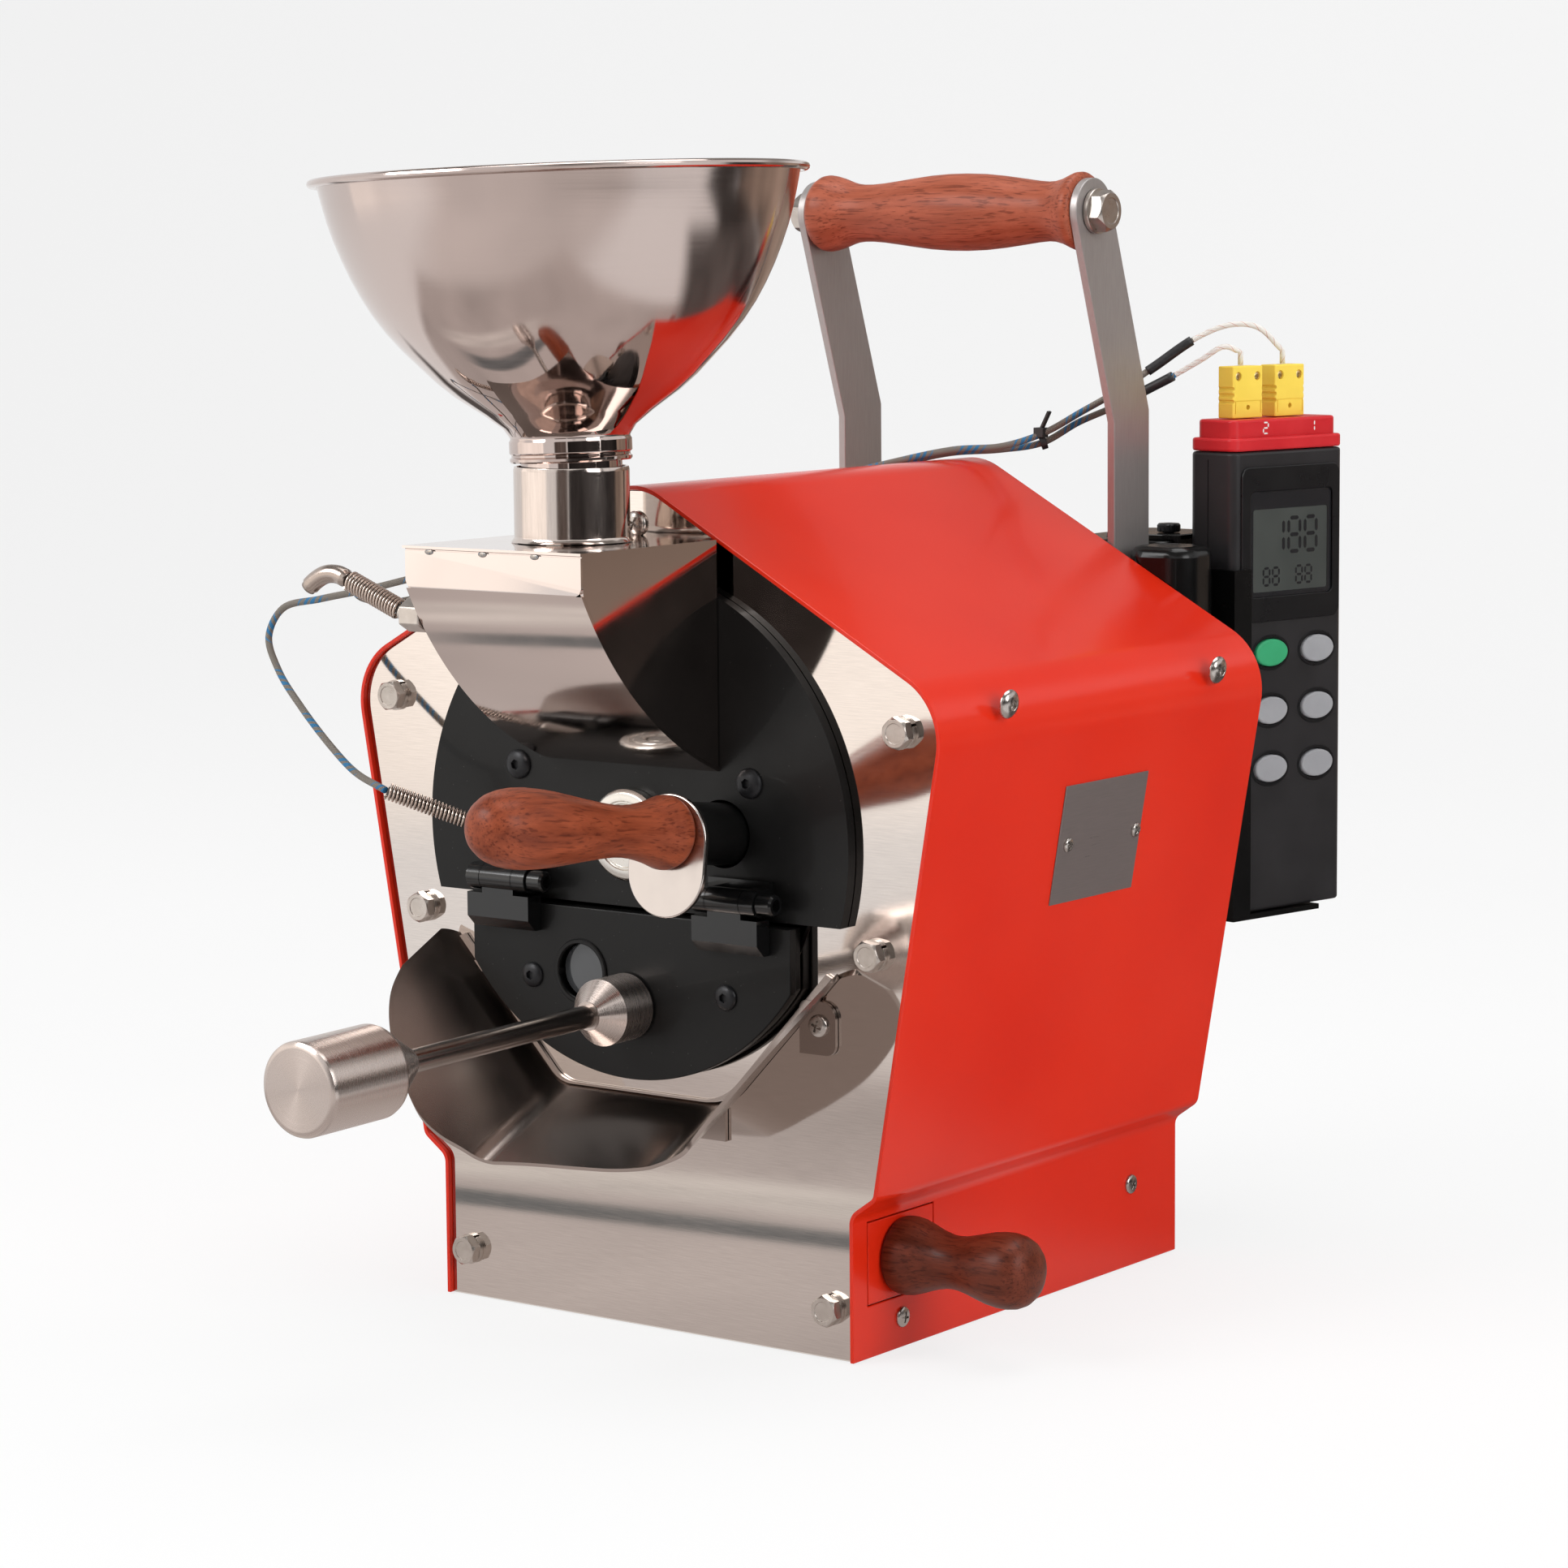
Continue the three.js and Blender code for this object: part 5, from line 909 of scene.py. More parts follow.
# Discharge door. A thick black-painted plate with a round sight glass and two
# socket screws, which swings out on two hinges under the face disc.
door_half, door_radius, door_top, door_front, door_back = 72, 88, 152.3, -8.3, -0.6
glass_x, glass_z, glass_radius = -21.5, 129, 10.5
door_lean = math.acos(door_half / door_radius)
door_rim = [(-door_half, door_top),
            *arc((0, disc_centre), door_radius, math.pi + door_lean, 2 * math.pi - door_lean, 72),
            (door_half, door_top)]
door = slab("door_plate_cut", door_rim, "XZ", door_front, 3.6)
backing = slab("door_backing", [(x * 0.985, z if z > 140 else disc_centre - (disc_centre - z) * 0.985)
                                for x, z in door_rim], "XZ", door_front + 3.6, door_back - door_front - 3.6)
door = eased(joined("door_plate_cut", door, backing), 0.4, 2)
pierced(door, rod("sight", glass_radius, 0, 12, (glass_x, 1, glass_z), (0, -1, 0)))
fitted(closed_up(door), black_paint, "door", "black_paint", "door_plate")
sight_ring = spun("sight_ring", [(10.4, -0.6), (11.9, -0.6), (11.9, 0.5), (11.5, 0.9), (10.4, 0.9), (10.1, 0.5),
                                 (10.1, -0.3), (10.4, -0.6)], (glass_x, door_front, glass_z), (0, -1, 0), 64)
fitted(sight_ring, black_paint, "door", "black_paint")
# The sight glass is opaque: its near-black colour is painted and stands for the drum's dark iron and the shade inside
# it, seen through clear glass.
sight_pane_painted_dark = finish("sight_glass_painted_dark_view", (0.05, 0.052, 0.055), 0.04, coat=0.6, worn=(0.03, 0.14, 40, 4))
fitted(spun("sight_pane", [(0, 0), (10.1, 0), (10.1, 1.6), (9.7, 2), (0, 2)], (glass_x, -3.5, glass_z), (0, -1, 0), 64),
       sight_pane_painted_dark, "door", "glass", "sight_glass")
door_screws = copied(socket_button("door_button", 4.6, 2.3, 1.7), "door_screws", *[
    seated(x, door_front, 125.8, 0.4) for x in (-44, 44)])
fitted(door_screws, black_screw, "door", "black_paint")


# Hinges. Milled blocks, painted black: a chamfered leaf with the middle
# knuckle on the door, and a bracket with two ears and a socket-head pin above.
hinge_black = finish("hinge_black_paint", (0.004, 0.004, 0.0042), 0.18, coat=0.2, glance=0.5,
                     worn=(0.14, 0.24, 60, 4), grained=(0.12, 0.05, 500, 2))
pin_y, pin_z, knuckle = -12.8, 161, 4.8
leaf_back, leaf_front, leaf_half, barrel_half = -8.6, -15.9, 14.3, 7.25
ear_gap, ear_wide = 7.55, 6
for name, middle in (("left", -54), ("right", 49)):
    leaf = slab("leaf", [(leaf_back, 142.5), (leaf_back, 155.3), (leaf_front, 155.3), (leaf_front, 146.5),
                         (leaf_front + 4, 142.5)], "YZ", middle - leaf_half, 2 * leaf_half)
    neck = bar("neck", (middle - barrel_half, leaf_front, 154.8), (middle + barrel_half, leaf_back, 160))
    barrel = rod("barrel", knuckle, 0, 2 * barrel_half, (middle - barrel_half, pin_y, pin_z), (1, 0, 0), 40)
    pierced(leaf, neck, barrel, how="UNION")
    pierced(leaf, rod("bore", 2.6, 0, 20, (middle - 10, pin_y, pin_z), (1, 0, 0), 32))
    leaf.name = "hinge_leaf_" + name
    fitted(eased(leaf, 0.35, 2), hinge_black, "door", "black_paint", "door_leaf_" + name)
    ears = [middle - ear_gap - ear_wide, middle + ear_gap]
    bracket = bar("bracket", (ears[0], -7.0, 156.6), (ears[1] + ear_wide, -4.8, 168))
    for ear in ears:
        pierced(bracket, bar("web", (ear, pin_y, 156.6), (ear + ear_wide, -6, 165.8)),
                rod("ear", knuckle, 0, ear_wide, (ear, pin_y, pin_z), (1, 0, 0), 40), how="UNION")
    pin_length = ears[1] + ear_wide - ears[0]
    pin = spun("pin", [(0, 0.1), (2.3, 0.1), (2.3, pin_length - 0.1), (3.5, pin_length), (3.9, pin_length + 0.4),
                       (3.9, pin_length + 6.2), (3.3, pin_length + 7), (2.1, pin_length + 7), (1.9, pin_length + 4),
                       (0, pin_length + 4)], (ears[0], pin_y, pin_z), (1, 0, 0), 40)
    bracket = joined("hinge_bracket_block_" + name, eased(bracket, 0.35, 2), pin)
    fitted(bracket, hinge_black, "housing", "black_paint", "hinge_bracket_" + name)


# Door lever. A turned boss with a cone, a blued rod and a heavy end weight,
# all stainless but the rod, faced off in the lathe.
lever_start, lever_droop = Vector((0, -8.6, 118.6)), math.radians(0.9)
lever_out = Vector((0, -math.cos(lever_droop), -math.sin(lever_droop)))


def turned_finish(name, colour, low, high, start, across):
    """Lathe-turned steel: fine rings about the piece's own axis, which leans by across."""
    material, tree, shader = bare_finish(name, colour, low, metallic=1.0)
    place = mapped(tree, on_piece(tree), vector_type="TEXTURE", Location=tuple(start), Rotation=across)
    reach = added(tree, "VectorMath", {0: mapped(tree, place, Scale=(1, 0, 1))}, operation="LENGTH").outputs["Value"]
    both = added(tree, "CombineXYZ", {"X": reach, "Y": parts_of(tree, place)["Y"]})
    cuts = noise(tree, both.outputs["Vector"], Scale=4200.0, Detail=2.0)
    tree.links.new(spread(tree, cuts, low, high), shader.inputs["Roughness"])
    coloured(tree, shader, shades(tree, cuts, tuple(c * 0.94 for c in colour), colour))
    drawn_out(material, rings_about(material, start, lever_out), 0.85)
    return material


turned_steel = turned_finish("turned_weight_steel", (0.60, 0.52, 0.48), 0.24, 0.30, lever_start / 1000,
                             (lever_droop, 0, 0))
rod_steel = finish("blued_rod_steel", (0.30, 0.265, 0.245), 0.24, metallic=1.0,
                   tinted=((0.24, 0.21, 0.19), (0.36, 0.32, 0.295), 90, 4, (1, 0.2, 1)),
                   worn=(0.18, 0.27, 60, 4, (1, 0.15, 1)))
lever_piece = spun("lever_boss", [(0, 0.2), (11.6, 0.2), (12, 0.6), (12, 15.5), (5.2, 22.6), (5.2, 23), (0, 23)],
                   lever_start, lever_out, 72, 25)
rod_piece = rod("lever_rod_drawn", 4.1, 20, 118, lever_start, lever_out, 48)
fitted(lever_piece, turned_steel, "door", "grey_steel", "lever_rod")
fitted(rod_piece, rod_steel, "door", "grey_steel")
weight_piece = spun("lever_weight_turned", [(0, 118.3), (4.8, 118.3), (5.2, 118.7), (14.2, 133.6), (15.7, 135.2),
                                            (16.2, 136.6), (16.2, 137.1), (16.2, 170.4), (16.2, 170.9), (15.9, 171.8),
                                            (15.0, 172.5), (14.2, 172.7), (13.8, 172.7),
                                            (3, 172.6), (0, 172.6)], lever_start, lever_out, 96, 25)
fitted(weight_piece, turned_steel, "door", "grey_steel", "lever_weight")


# Chaff drawer. A folded red front on a steel tray, with a dark turned knob
# screwed on through the front.
drawer_front = bar("drawer_front_sheet", (91.9, 7.1, 19.2), (93.5, 46.9, 48.4))
tray = bar("tray", (-58.1, 9.1, 21.2), (91.9, 44.9, 46.4))
pierced(tray, bar("hollow", (-57.1, 10.1, 22.2), (90.9, 43.9, 60)))
drawer = eased(joined("chaff_drawer", drawer_front, tray), 0.3)
fitted(drawer, red_paint, "drawer", "red_paint", "drawer_tray")
knob_line = [(0, 0), (12.6, 0), (13.4, 0.5), (13.9, 2.0), (14.0, 4.4), (13.6, 7.2), (12.7, 10.2), (11.5, 13.4),
             (10.4, 17), (9.6, 20.6), (9.4, 23.6), (9.7, 27), (10.6, 31), (11.7, 35), (12.7, 39), (13.3, 43),
             (13.4, 46.4), (12.9, 49.8), (11.7, 52.6), (9.7, 54.8), (7.0, 56.2), (3.6, 56.9), (0, 57)]
knob_wood = wood_finish("drawer_knob_wood", (0, 0, 0), (0.070, 0.013, 0.005), (0.165, 0.033, 0.014), (0.3, 0, 0))
fitted(spun("drawer_knob_turned", knob_line, (93.8, 27, 33.8), (1, 0, 0), 72, 60), knob_wood, "drawer", "wood",
       "drawer_knob")


# Carrying handle. Two flat stainless straps, kinked forward, each welded to a
# foot plate; a turned hardwood grip hangs between them on one long bolt.
strap_outer, strap_gauge, strap_mid, strap_half, strap_foot, strap_kink = 65, 3.2, 224.1, 12.5, 220, 320.5
grip_y, grip_z = 197.5, 398.7
lean = math.atan2(strap_mid - grip_y, grip_z - strap_kink)
mitre = math.tan(lean / 2) * strap_half
strap_line = [(strap_mid - strap_half, strap_foot), (strap_mid + strap_half, strap_foot),
              (strap_mid + strap_half, strap_kink + mitre),
              *arc((grip_y, grip_z), strap_half, lean, lean + math.pi, 32),
              (strap_mid - strap_half, strap_kink - mitre)]
strap_steel = brushed_finish("brushed_strap_steel", (0.42, 0.39, 0.38), 0.34, 0.46, (14, 14, 1), 0.02, 0.65)
for name, side in (("left", -1), ("right", 1)):
    inner = min(side * strap_outer, side * (strap_outer - strap_gauge))
    strap = slab("strap", strap_line, "YZ", inner, strap_gauge)
    pierced(strap, rod("bore", 4.5, 0, 20, (inner - 5, grip_y, grip_z), (1, 0, 0), 40))
    edge = side * (strap_outer - 25)
    foot = bar("foot", (min(edge, side * strap_outer), 209.3, strap_foot), (max(edge, side * strap_outer), 212.3, 262))
    strap = eased(joined("strap_bar_" + name, strap, foot), 0.3, 2, 25)
    fitted(strap, strap_steel, "housing", "grey_steel", "strap_" + name)
grip_half = 61.5
grip_shares = [(4.5, 0), (12.6, 0), (13.9, 0.006), (14.7, 0.018), (14.9, 0.032), (14.6, 0.050), (13.7, 0.078),
               (12.5, 0.106), (11.5, 0.135), (11.1, 0.165), (11.1, 0.20), (11.5, 0.245), (12.3, 0.30), (13.3, 0.365),
               (14.2, 0.43), (14.7, 0.495), (14.8, 0.56), (14.5, 0.63), (13.7, 0.70), (12.6, 0.77), (11.7, 0.825),
               (11.3, 0.865), (11.5, 0.895), (12.5, 0.928), (13.9, 0.955), (14.7, 0.972), (14.8, 0.986), (14.1, 0.996),
               (12.8, 1), (4.5, 1), (4.5, 0)]
grip_wood = wood_finish("grip_wood", (0, 0, 0), (0.26, 0.058, 0.027), (0.41, 0.106, 0.055), (0.1, 0.05, 0))
grip = spun("grip_turned", [(r, 2 * grip_half * d) for r, d in grip_shares], (-grip_half, grip_y, grip_z), (1, 0, 0),
            80, 60)
fitted(grip, grip_wood, "housing", "wood", "grip")
bolt_parts = [rod("shank", 4, 0, 134.6, (-67.3, grip_y, grip_z), (1, 0, 0), 32)]
for side in (-1, 1):
    face = side * 65.3
    washer = [(4.1, 0), (8.4, 0), (8.6, 0.3), (8.6, 1.7), (8.4, 2), (4.1, 2), (4.1, 0)]
    bolt_parts.append(spun("washer", washer, (face, grip_y, grip_z), (side, 0, 0), 56))
    bolt_parts.append(hexagon_head("hexagon", (face + 2 * side, grip_y, grip_z), (side, 0, 0), 14, 5.4))
fitted(joined("grip_bolt_set", *bolt_parts), bolt_steel, "housing", "bright_steel", "grip_bolt")


# Rear boxes. The gear guard, the motor's box and the rounded control box are
# black-painted sheet; a moulded panel holds the power inlet and the rocker.
gloss_black = finish("gloss_black_paint", (0.004, 0.004, 0.004), 0.2, coat=0.12, glance=0.25,
                     worn=(0.14, 0.30, 50, 4), grained=(0.12, 0.06, 300, 2))


def rectangle(first, second, corner, steps=6):
    """A rectangle's outline from first to second along each way, with round corners."""
    (a, b), (c, d) = first, second
    return rounded([(a, c, corner), (b, c, corner), (b, d, corner), (a, d, corner)], steps, True)


def rounded_block(name, x, y, z, corner, edge):
    return eased(slab(name, rectangle(x, y, corner, 10), "XY", z[0], z[1] - z[0]), edge, 3, 50)


refinished(gloss_black, "gear_guard")
motor_box = rounded_block("motor_box_shell", (20, 72), (237.6, 282.6), (150, 271.5), 6, 1.5)
fitted(motor_box, gloss_black, "housing", "black_paint", "motor_box")
control_box = rounded_block("control_box_shell", (68, 97), (211.3, 237.8), (150, 271.5), 10, 4.0)
control_box = joined("control_box_shell", control_box, bar("control_foot", (70, 209.3, 160), (87, 213.3, 235)))
fitted(control_box, gloss_black, "housing", "black_paint", "control_box")
black_moulding = finish("black_moulded_plastic", (0.022, 0.022, 0.024), 0.5, worn=(0.42, 0.58, 60),
                        grained=(0.3, 0.05, 1500, 2))
refinished(black_moulding, "switch_panel")
pins = [bar("pin", (37.5 + dx - 0.9, 284.6, 172 + dz - 2), (37.5 + dx + 0.9, 288.6, 172 + dz + 2))
        for dx, dz in ((-4.6, 7), (-4.6, -7), (4, 0))]
fitted(eased(joined("inlet_pins", *pins), 0.2, 1), screw_steel, "housing", "bright_steel")
rocker_turn = Matrix.Translation(mm(58.5, 289.5, 172)) @ Matrix.Rotation(math.radians(-7), 4, "X")
rocker = slab("rocker_cap", [(-1.5, -9.5), (1.3, -9.5), (0.6, -4), (0.35, 0), (0.6, 4), (1.3, 9.5), (-1.5, 9.5)],
              "YZ", -6, 12)
rocker.data.transform(rocker_turn)
fitted(eased(rocker, 0.3, 2), black_moulding, "rocker", "black_plastic", "rocker")


# Thermometer bracket. A painted sheet angle over the motor's box holds the
# thermometer's holster, clamped down by one black screw.
bracket_top = slab("bracket_top", rounded([(40, 243, 3), (74.3, 243, 2), (74.3, 277, 2), (40, 277, 3)], 6, True),
                   "XY", 271.8, 2)
pierced(bracket_top, rod("hole", 2.3, 0, 9, (62, 256, 268), (0, 0, 1), 32))
bracket_leg = bar("bracket_leg", (72.3, 243, 201.8), (74.3, 277, 273.8))
meter_bracket = eased(joined("thermometer_bracket", bracket_top, bracket_leg), 0.3)
fitted(meter_bracket, gloss_black, "housing", "black_paint", "meter_bracket")
clamp_start = (62, 256, 274.1)
clamp_head = spun("clamp_head", [(0, -1.7), (1.8, -1.7), (2, -1.4), (2, 0), (4.2, 0), (4.6, 0.4), (4.6, 2.6), (4, 3.3),
                                 (2.2, 3.4), (1.8, 3.2), (0, 3.2)], clamp_start, (0, 0, 1), 40)
flutes = [rod("flute", 0.45, -1, 5, Vector(clamp_start) + Vector((a, b, 0)), (0, 0, 1), 8)
          for a, b in circle(14, 4.75)]
pierced(clamp_head, joined("flutes", *flutes))
fitted(eased(clamp_head, 0.1, 1), black_screw, "clamp_screw", "black_paint", "clamp_screw")


# Thermometer. A two-channel handheld meter in dark moulded plastic: a body
# split front from back, a red cap with two sockets, a screen and six buttons.
meter_turn = Matrix.Translation(mm(100.856, 240.797, 127.5)) @ Matrix.Rotation(math.radians(-11), 4, "Z")
meter_width, meter_deep, body_high, cap_low, cap_high = 64, 24, 178.9, 179.2, 191.2
seam = -13.7
buttons = {"power": (21, 100.8), "range": (48, 100.8), "time": (21, 78.3), "hold": (48, 78.3), "record": (21, 55.6),
           "unit": (48, 55.6)}
button_wide, button_high, button_low, button_top = 9.2, 5.3, -1.6, 1.3


def on_meter(piece):
    piece.data.transform(meter_turn)
    return piece


def oval_rim(centre, grow):
    """A button's oval rim, grown by a margin."""
    return [(centre[0] + (button_wide + grow) * a, centre[1] + (button_high + grow) * b) for a, b in circle(40)]


meter_plastic = finish("meter_plastic", (0.02, 0.019, 0.02), 0.38, glance=0.3,
                       tinted=((0.018, 0.017, 0.018), (0.024, 0.0225, 0.024), 40), worn=(0.30, 0.46, 60, 4),
                       grained=(0.25, 0.04, 1800, 2))
body = rounded_block("thermometer_shell", (-meter_deep, 0), (0, meter_width), (0, body_high), 4, 1.2)
groove = [bar("groove", (seam - 0.25, y, 3), (seam + 0.25, y + 1.35, body_high - 3)) for y in (-1, meter_width - 0.35)]
recess = slab("screen_recess", rectangle((7.5, 57.5), (121.5, 164.5), 3), "YZ", -1.0, 3)
pockets = [slab("pocket", oval_rim(centre, 0.4), "YZ", -2.9, 6) for centre in buttons.values()]
pierced(body, *groove, recess, *pockets)
levelled = shaped(on_meter(closed_up(body, 40)), "WEIGHTED_NORMAL", keep_sharp=True, weight=100)
fitted(levelled, meter_plastic, "housing", "black_plastic", "meter_body")
surround = slab("surround", rectangle((3.5, 60.5), (113, 173), 4, 8), "YZ", 0, 0.9)
pierced(surround, slab("opening", rectangle((8.5, 56.5), (122.5, 163.5), 2.5), "YZ", -1, 4))
surround = eased(surround, 0.35, 2)
bezel = finish("screen_bezel", (0.007, 0.007, 0.008), 0.3, glance=0.35, worn=(0.24, 0.38, 80))
fitted(on_meter(surround), bezel, "housing", "black_plastic")
bead = [slab("bead", oval_rim(centre, 1.7), "YZ", 0, 0.35) for centre in buttons.values()]
for ring, centre in zip(bead, buttons.values()):
    pierced(ring, slab("inside", oval_rim(centre, 0.55), "YZ", -1, 3))
fitted(on_meter(eased(joined("button_surrounds", *bead), 0.14, 1)), bezel, "housing", "black_plastic")

screen_glass = finish("screen_glass", (0.06, 0.065, 0.06), 0.12, coat=0.2,
                      tinted=((0.052, 0.057, 0.053), (0.070, 0.076, 0.070), 25, 2), worn=(0.08, 0.18, 90))
pane_rim = [(8.6, 122.6), (56.4, 122.6), (56.4, 163.4), (8.6, 163.4)]
screen = slab("screen_pane", pane_rim, "YZ", -0.95, 0.75)
fitted(on_meter(eased(screen, 0.15, 1)), screen_glass, "housing", "glass")
mask_ink = finish("screen_mask", (0.014, 0.014, 0.016), 0.2, coat=0.4, worn=(0.14, 0.26, 90))
mask = slab("mask", pane_rim, "YZ", -0.19, 0.12)
pierced(mask, slab("window", rectangle((11, 54), (124.5, 156.5), 1, 4), "YZ", -1, 3))
fitted(on_meter(eased(mask, 0.03, 1)), mask_ink, "housing", "black_plastic")

segments = {"a": ((0.12, 1), (0.88, 1)), "b": ((1, 0.94), (1, 0.56)), "c": ((1, 0.44), (1, 0.06)),
            "d": ((0.12, 0), (0.88, 0)), "e": ((0, 0.44), (0, 0.06)), "f": ((0, 0.94), (0, 0.56)),
            "g": ((0.12, 0.5), (0.88, 0.5))}
digits = {"0": "abcdef", "1": "bc", "2": "abged", "3": "abgcd", "4": "fgbc", "5": "afgcd", "6": "afgecd",
          "7": "abc", "8": "abcdefg", "9": "abcdfg"}


def digit_bars(text, left, low, wide, high, gap, stroke, level, thick):
    """Seven-segment numerals as thin bars in the screen's plane."""
    bars = []
    for place, mark in enumerate(text):
        start = left + place * (wide + gap)
        for part in digits.get(mark, ""):
            (u1, v1), (u2, v2) = segments[part]
            y1, y2 = sorted((start + u1 * wide, start + u2 * wide))
            z1, z2 = sorted((low + v1 * high, low + v2 * high))
            tip = stroke / 2
            if part in "adg":
                line = [(y1, z1), (y1 + tip, z1 - tip), (y2 - tip, z1 - tip), (y2, z1), (y2 - tip, z1 + tip),
                        (y1 + tip, z1 + tip)]
            else:
                line = [(y1, z1), (y1 + tip, z1 + tip), (y1 + tip, z2 - tip), (y1, z2), (y1 - tip, z2 - tip),
                        (y1 - tip, z1 + tip)]
            bars.append(slab("segment", line, "YZ", level, thick))
    return bars


marks = digit_bars("188", 22, 139.5, 6.6, 13, 3.0, 1.5, -0.185, 0.1)
for left in (17, 36):
    marks += digit_bars("88", left, 127, 3.6, 6.6, 1.8, 0.9, -0.185, 0.1)
fitted(on_meter(joined("screen_segments", *marks)), mask_ink, "housing", "black_plastic")

red_plastic = finish("red_moulded_cap", (0.56, 0.018, 0.024), 0.36, glance=0.3,
                     tinted=((0.54, 0.014, 0.020), (0.60, 0.022, 0.028), 50), worn=(0.26, 0.42, 60, 4),
                     grained=(0.25, 0.04, 1500, 2))
cap_bead = rounded_block("cap_bead", (-meter_deep, 0), (0, meter_width), (cap_low, 184.2), 4, 0.9)
cap_crown = rounded_block("cap_crown", (-meter_deep + 2, -2), (2, meter_width - 2), (183, cap_high), 3.5, 1.0)
fitted(on_meter(joined("thermometer_cap", cap_bead, cap_crown)), red_plastic, "housing", "red_plastic", "meter_cap")
socket_marks = []
for text, y in (("2", 20), ("1", 47)):
    socket_marks += digit_bars(text, y - 1.4, 185.6, 2.8, 4.2, 1, 0.6, -2.02, 0.12)
white_ink = finish("white_mark", (0.75, 0.74, 0.72), 0.5, worn=(0.42, 0.58, 200, 2))
fitted(on_meter(joined("socket_numbers", *socket_marks)), white_ink, "housing", "red_plastic")

grey_rubber, green_rubber = (
    finish(name, colour, rough, tinted=(dark, light, 60), grained=(0.3, 0.05, 1600, 2))
    for name, colour, rough, dark, light in (
        ("grey_button_rubber", (0.30, 0.30, 0.315), 0.62, (0.275, 0.275, 0.29), (0.325, 0.325, 0.34)),
        ("green_button_rubber", (0.02, 0.33, 0.135), 0.55, (0.017, 0.30, 0.12), (0.024, 0.36, 0.15))))
for name, centre in buttons.items():
    stem = slab("rubber_button_" + name, oval_rim(centre, 0), "YZ", button_low, button_top - button_low)
    rubber, slot = (green_rubber, "green_rubber") if name == "power" else (grey_rubber, "grey_rubber")
    fitted(on_meter(eased(stem, 0.75, 4, 50)), rubber, "button_" + name, slot, "button_" + name)


# Holster. A black sheet-steel cradle with a side wall, a back wall, a shelf
# and a narrow face lip, which the thermometer slides down into.
holster = [bar("side", (-26.3, -2.3, -2.3), (2.3, -0.3, 134)), bar("back", (-26.3, -2.3, -2.3), (-24.3, 48, 134)),
           bar("lip", (0.3, -2.3, -2.3), (2.3, 7.6, 134)), bar("shelf", (-26.3, -2.3, -2.3), (2.3, 48, -0.3))]
holster_shell = eased(pierced(*holster, how="UNION"), 0.35, 2)
holster_shell.name = "holster_shell"
fitted(on_meter(holster_shell), gloss_black, "housing", "black_paint", "meter_holster")


# Plugs. Two flat yellow mini-plugs stand in the cap's sockets, each with
# finger ridges and two cross screws in its side.
yellow_plastic = finish("yellow_plug", (0.90, 0.66, 0.085), 0.45, glance=0.35,
                        tinted=((0.87, 0.63, 0.075), (0.93, 0.69, 0.095), 60), grained=(0.25, 0.04, 1400, 2))
brass = finish("brass_screw", (0.78, 0.58, 0.28), 0.3, metallic=1.0, worn=(0.22, 0.4, 900))
plug_x, plug_low, plug_high, plug_wide, plug_deep = -12, 191.5, 211.5, 17, 8
screw_apart, screw_below = 10.8, 3.9
for name, plug_y in (("near", 16.5), ("far", 40.8)):
    plug = rounded_block("plug_shell_" + name, (plug_x - plug_deep / 2, plug_x + plug_deep / 2),
                         (plug_y - plug_wide / 2, plug_y + plug_wide / 2), (plug_low, plug_high), 0.7, 0.45)
    front = plug_x + plug_deep / 2
    cuts = [rod("finger_groove", 0.8, -1, 12, (front - plug_deep - 1, plug_y + side * (plug_wide / 2 + 0.1),
                                               plug_low + high), (1, 0, 0), 16)
            for side in (-1, 1) for high in (6.4, 8.9, 11.4)]
    cuts += [bar("label_rim", (front - 0.35, plug_y - 7.2, plug_low + 6.4), (front + 1, plug_y + 7.2, plug_low + 6.8))]
    cuts += [bar("label_side", (front - 0.35, plug_y + 7.2 * side - 0.2, plug_low + 1.6),
                 (front + 1, plug_y + 7.2 * side + 0.2, plug_low + 6.8)) for side in (-1, 1)]
    cuts += [rod("label_hole", 1.0, -1, 3, (front - 1.2, plug_y, plug_low + 4.1), (1, 0, 0), 24)]
    cuts += [rod("screw_well", 1.75, -0.5, 4, (front - 0.6, plug_y + side * screw_apart / 2,
                                               plug_high - screw_below), (1, 0, 0), 32)
             for side in (-1, 1)]
    pierced(plug, *cuts)
    fitted(on_meter(eased(plug, 0.12, 1)), yellow_plastic, "housing", "yellow_plastic", "plug_" + name)
    face = (Matrix.Translation(mm(front - 0.9, plug_y, plug_high - screw_below)) @ Matrix.Rotation(math.pi / 2, 4, "Z"))
    heads = copied(cross_screw("plug_screw", 1.6, 0.7, 0.45), "plug_screws_" + name, *[
        face @ Matrix.Translation(mm(side * screw_apart / 2, 0, 0)) @ Matrix.Rotation(0.5, 4, "Y") for side in (-1, 1)])
    fitted(on_meter(heads), brass, "housing", "bright_steel")


# Temperature probes. The upper one screws into the hopper box's side with a
# hexagon fitting, the lower into the disc; wound springs guard both leads.
spring_steel = finish("spring_wire_steel", (0.58, 0.48, 0.42), 0.24, metallic=1.0, worn=(0.16, 0.32, 600))


def wound(name, start, along, length, radius, wire, turns):
    """A close-wound guard spring, a little drawn out, in millimetres."""
    along = Vector(along).normalized()
    first = along.orthogonal().normalized()
    second = along.cross(first)
    start = Vector(start)
    count = turns * 20
    path = [(start + along * (wire + (length - 2 * wire) * k / count) + first * a + second * b) / 1000
            for k, (a, b) in enumerate(arc((0, 0), radius, 0, 2 * math.pi * turns, count))]
    return swept(name, path, wire / 1000, 8)


sleeve_steel = finish("sleeve_steel", (0.42, 0.35, 0.31), 0.26, metallic=1.0, worn=(0.2, 0.34, 300, 4))

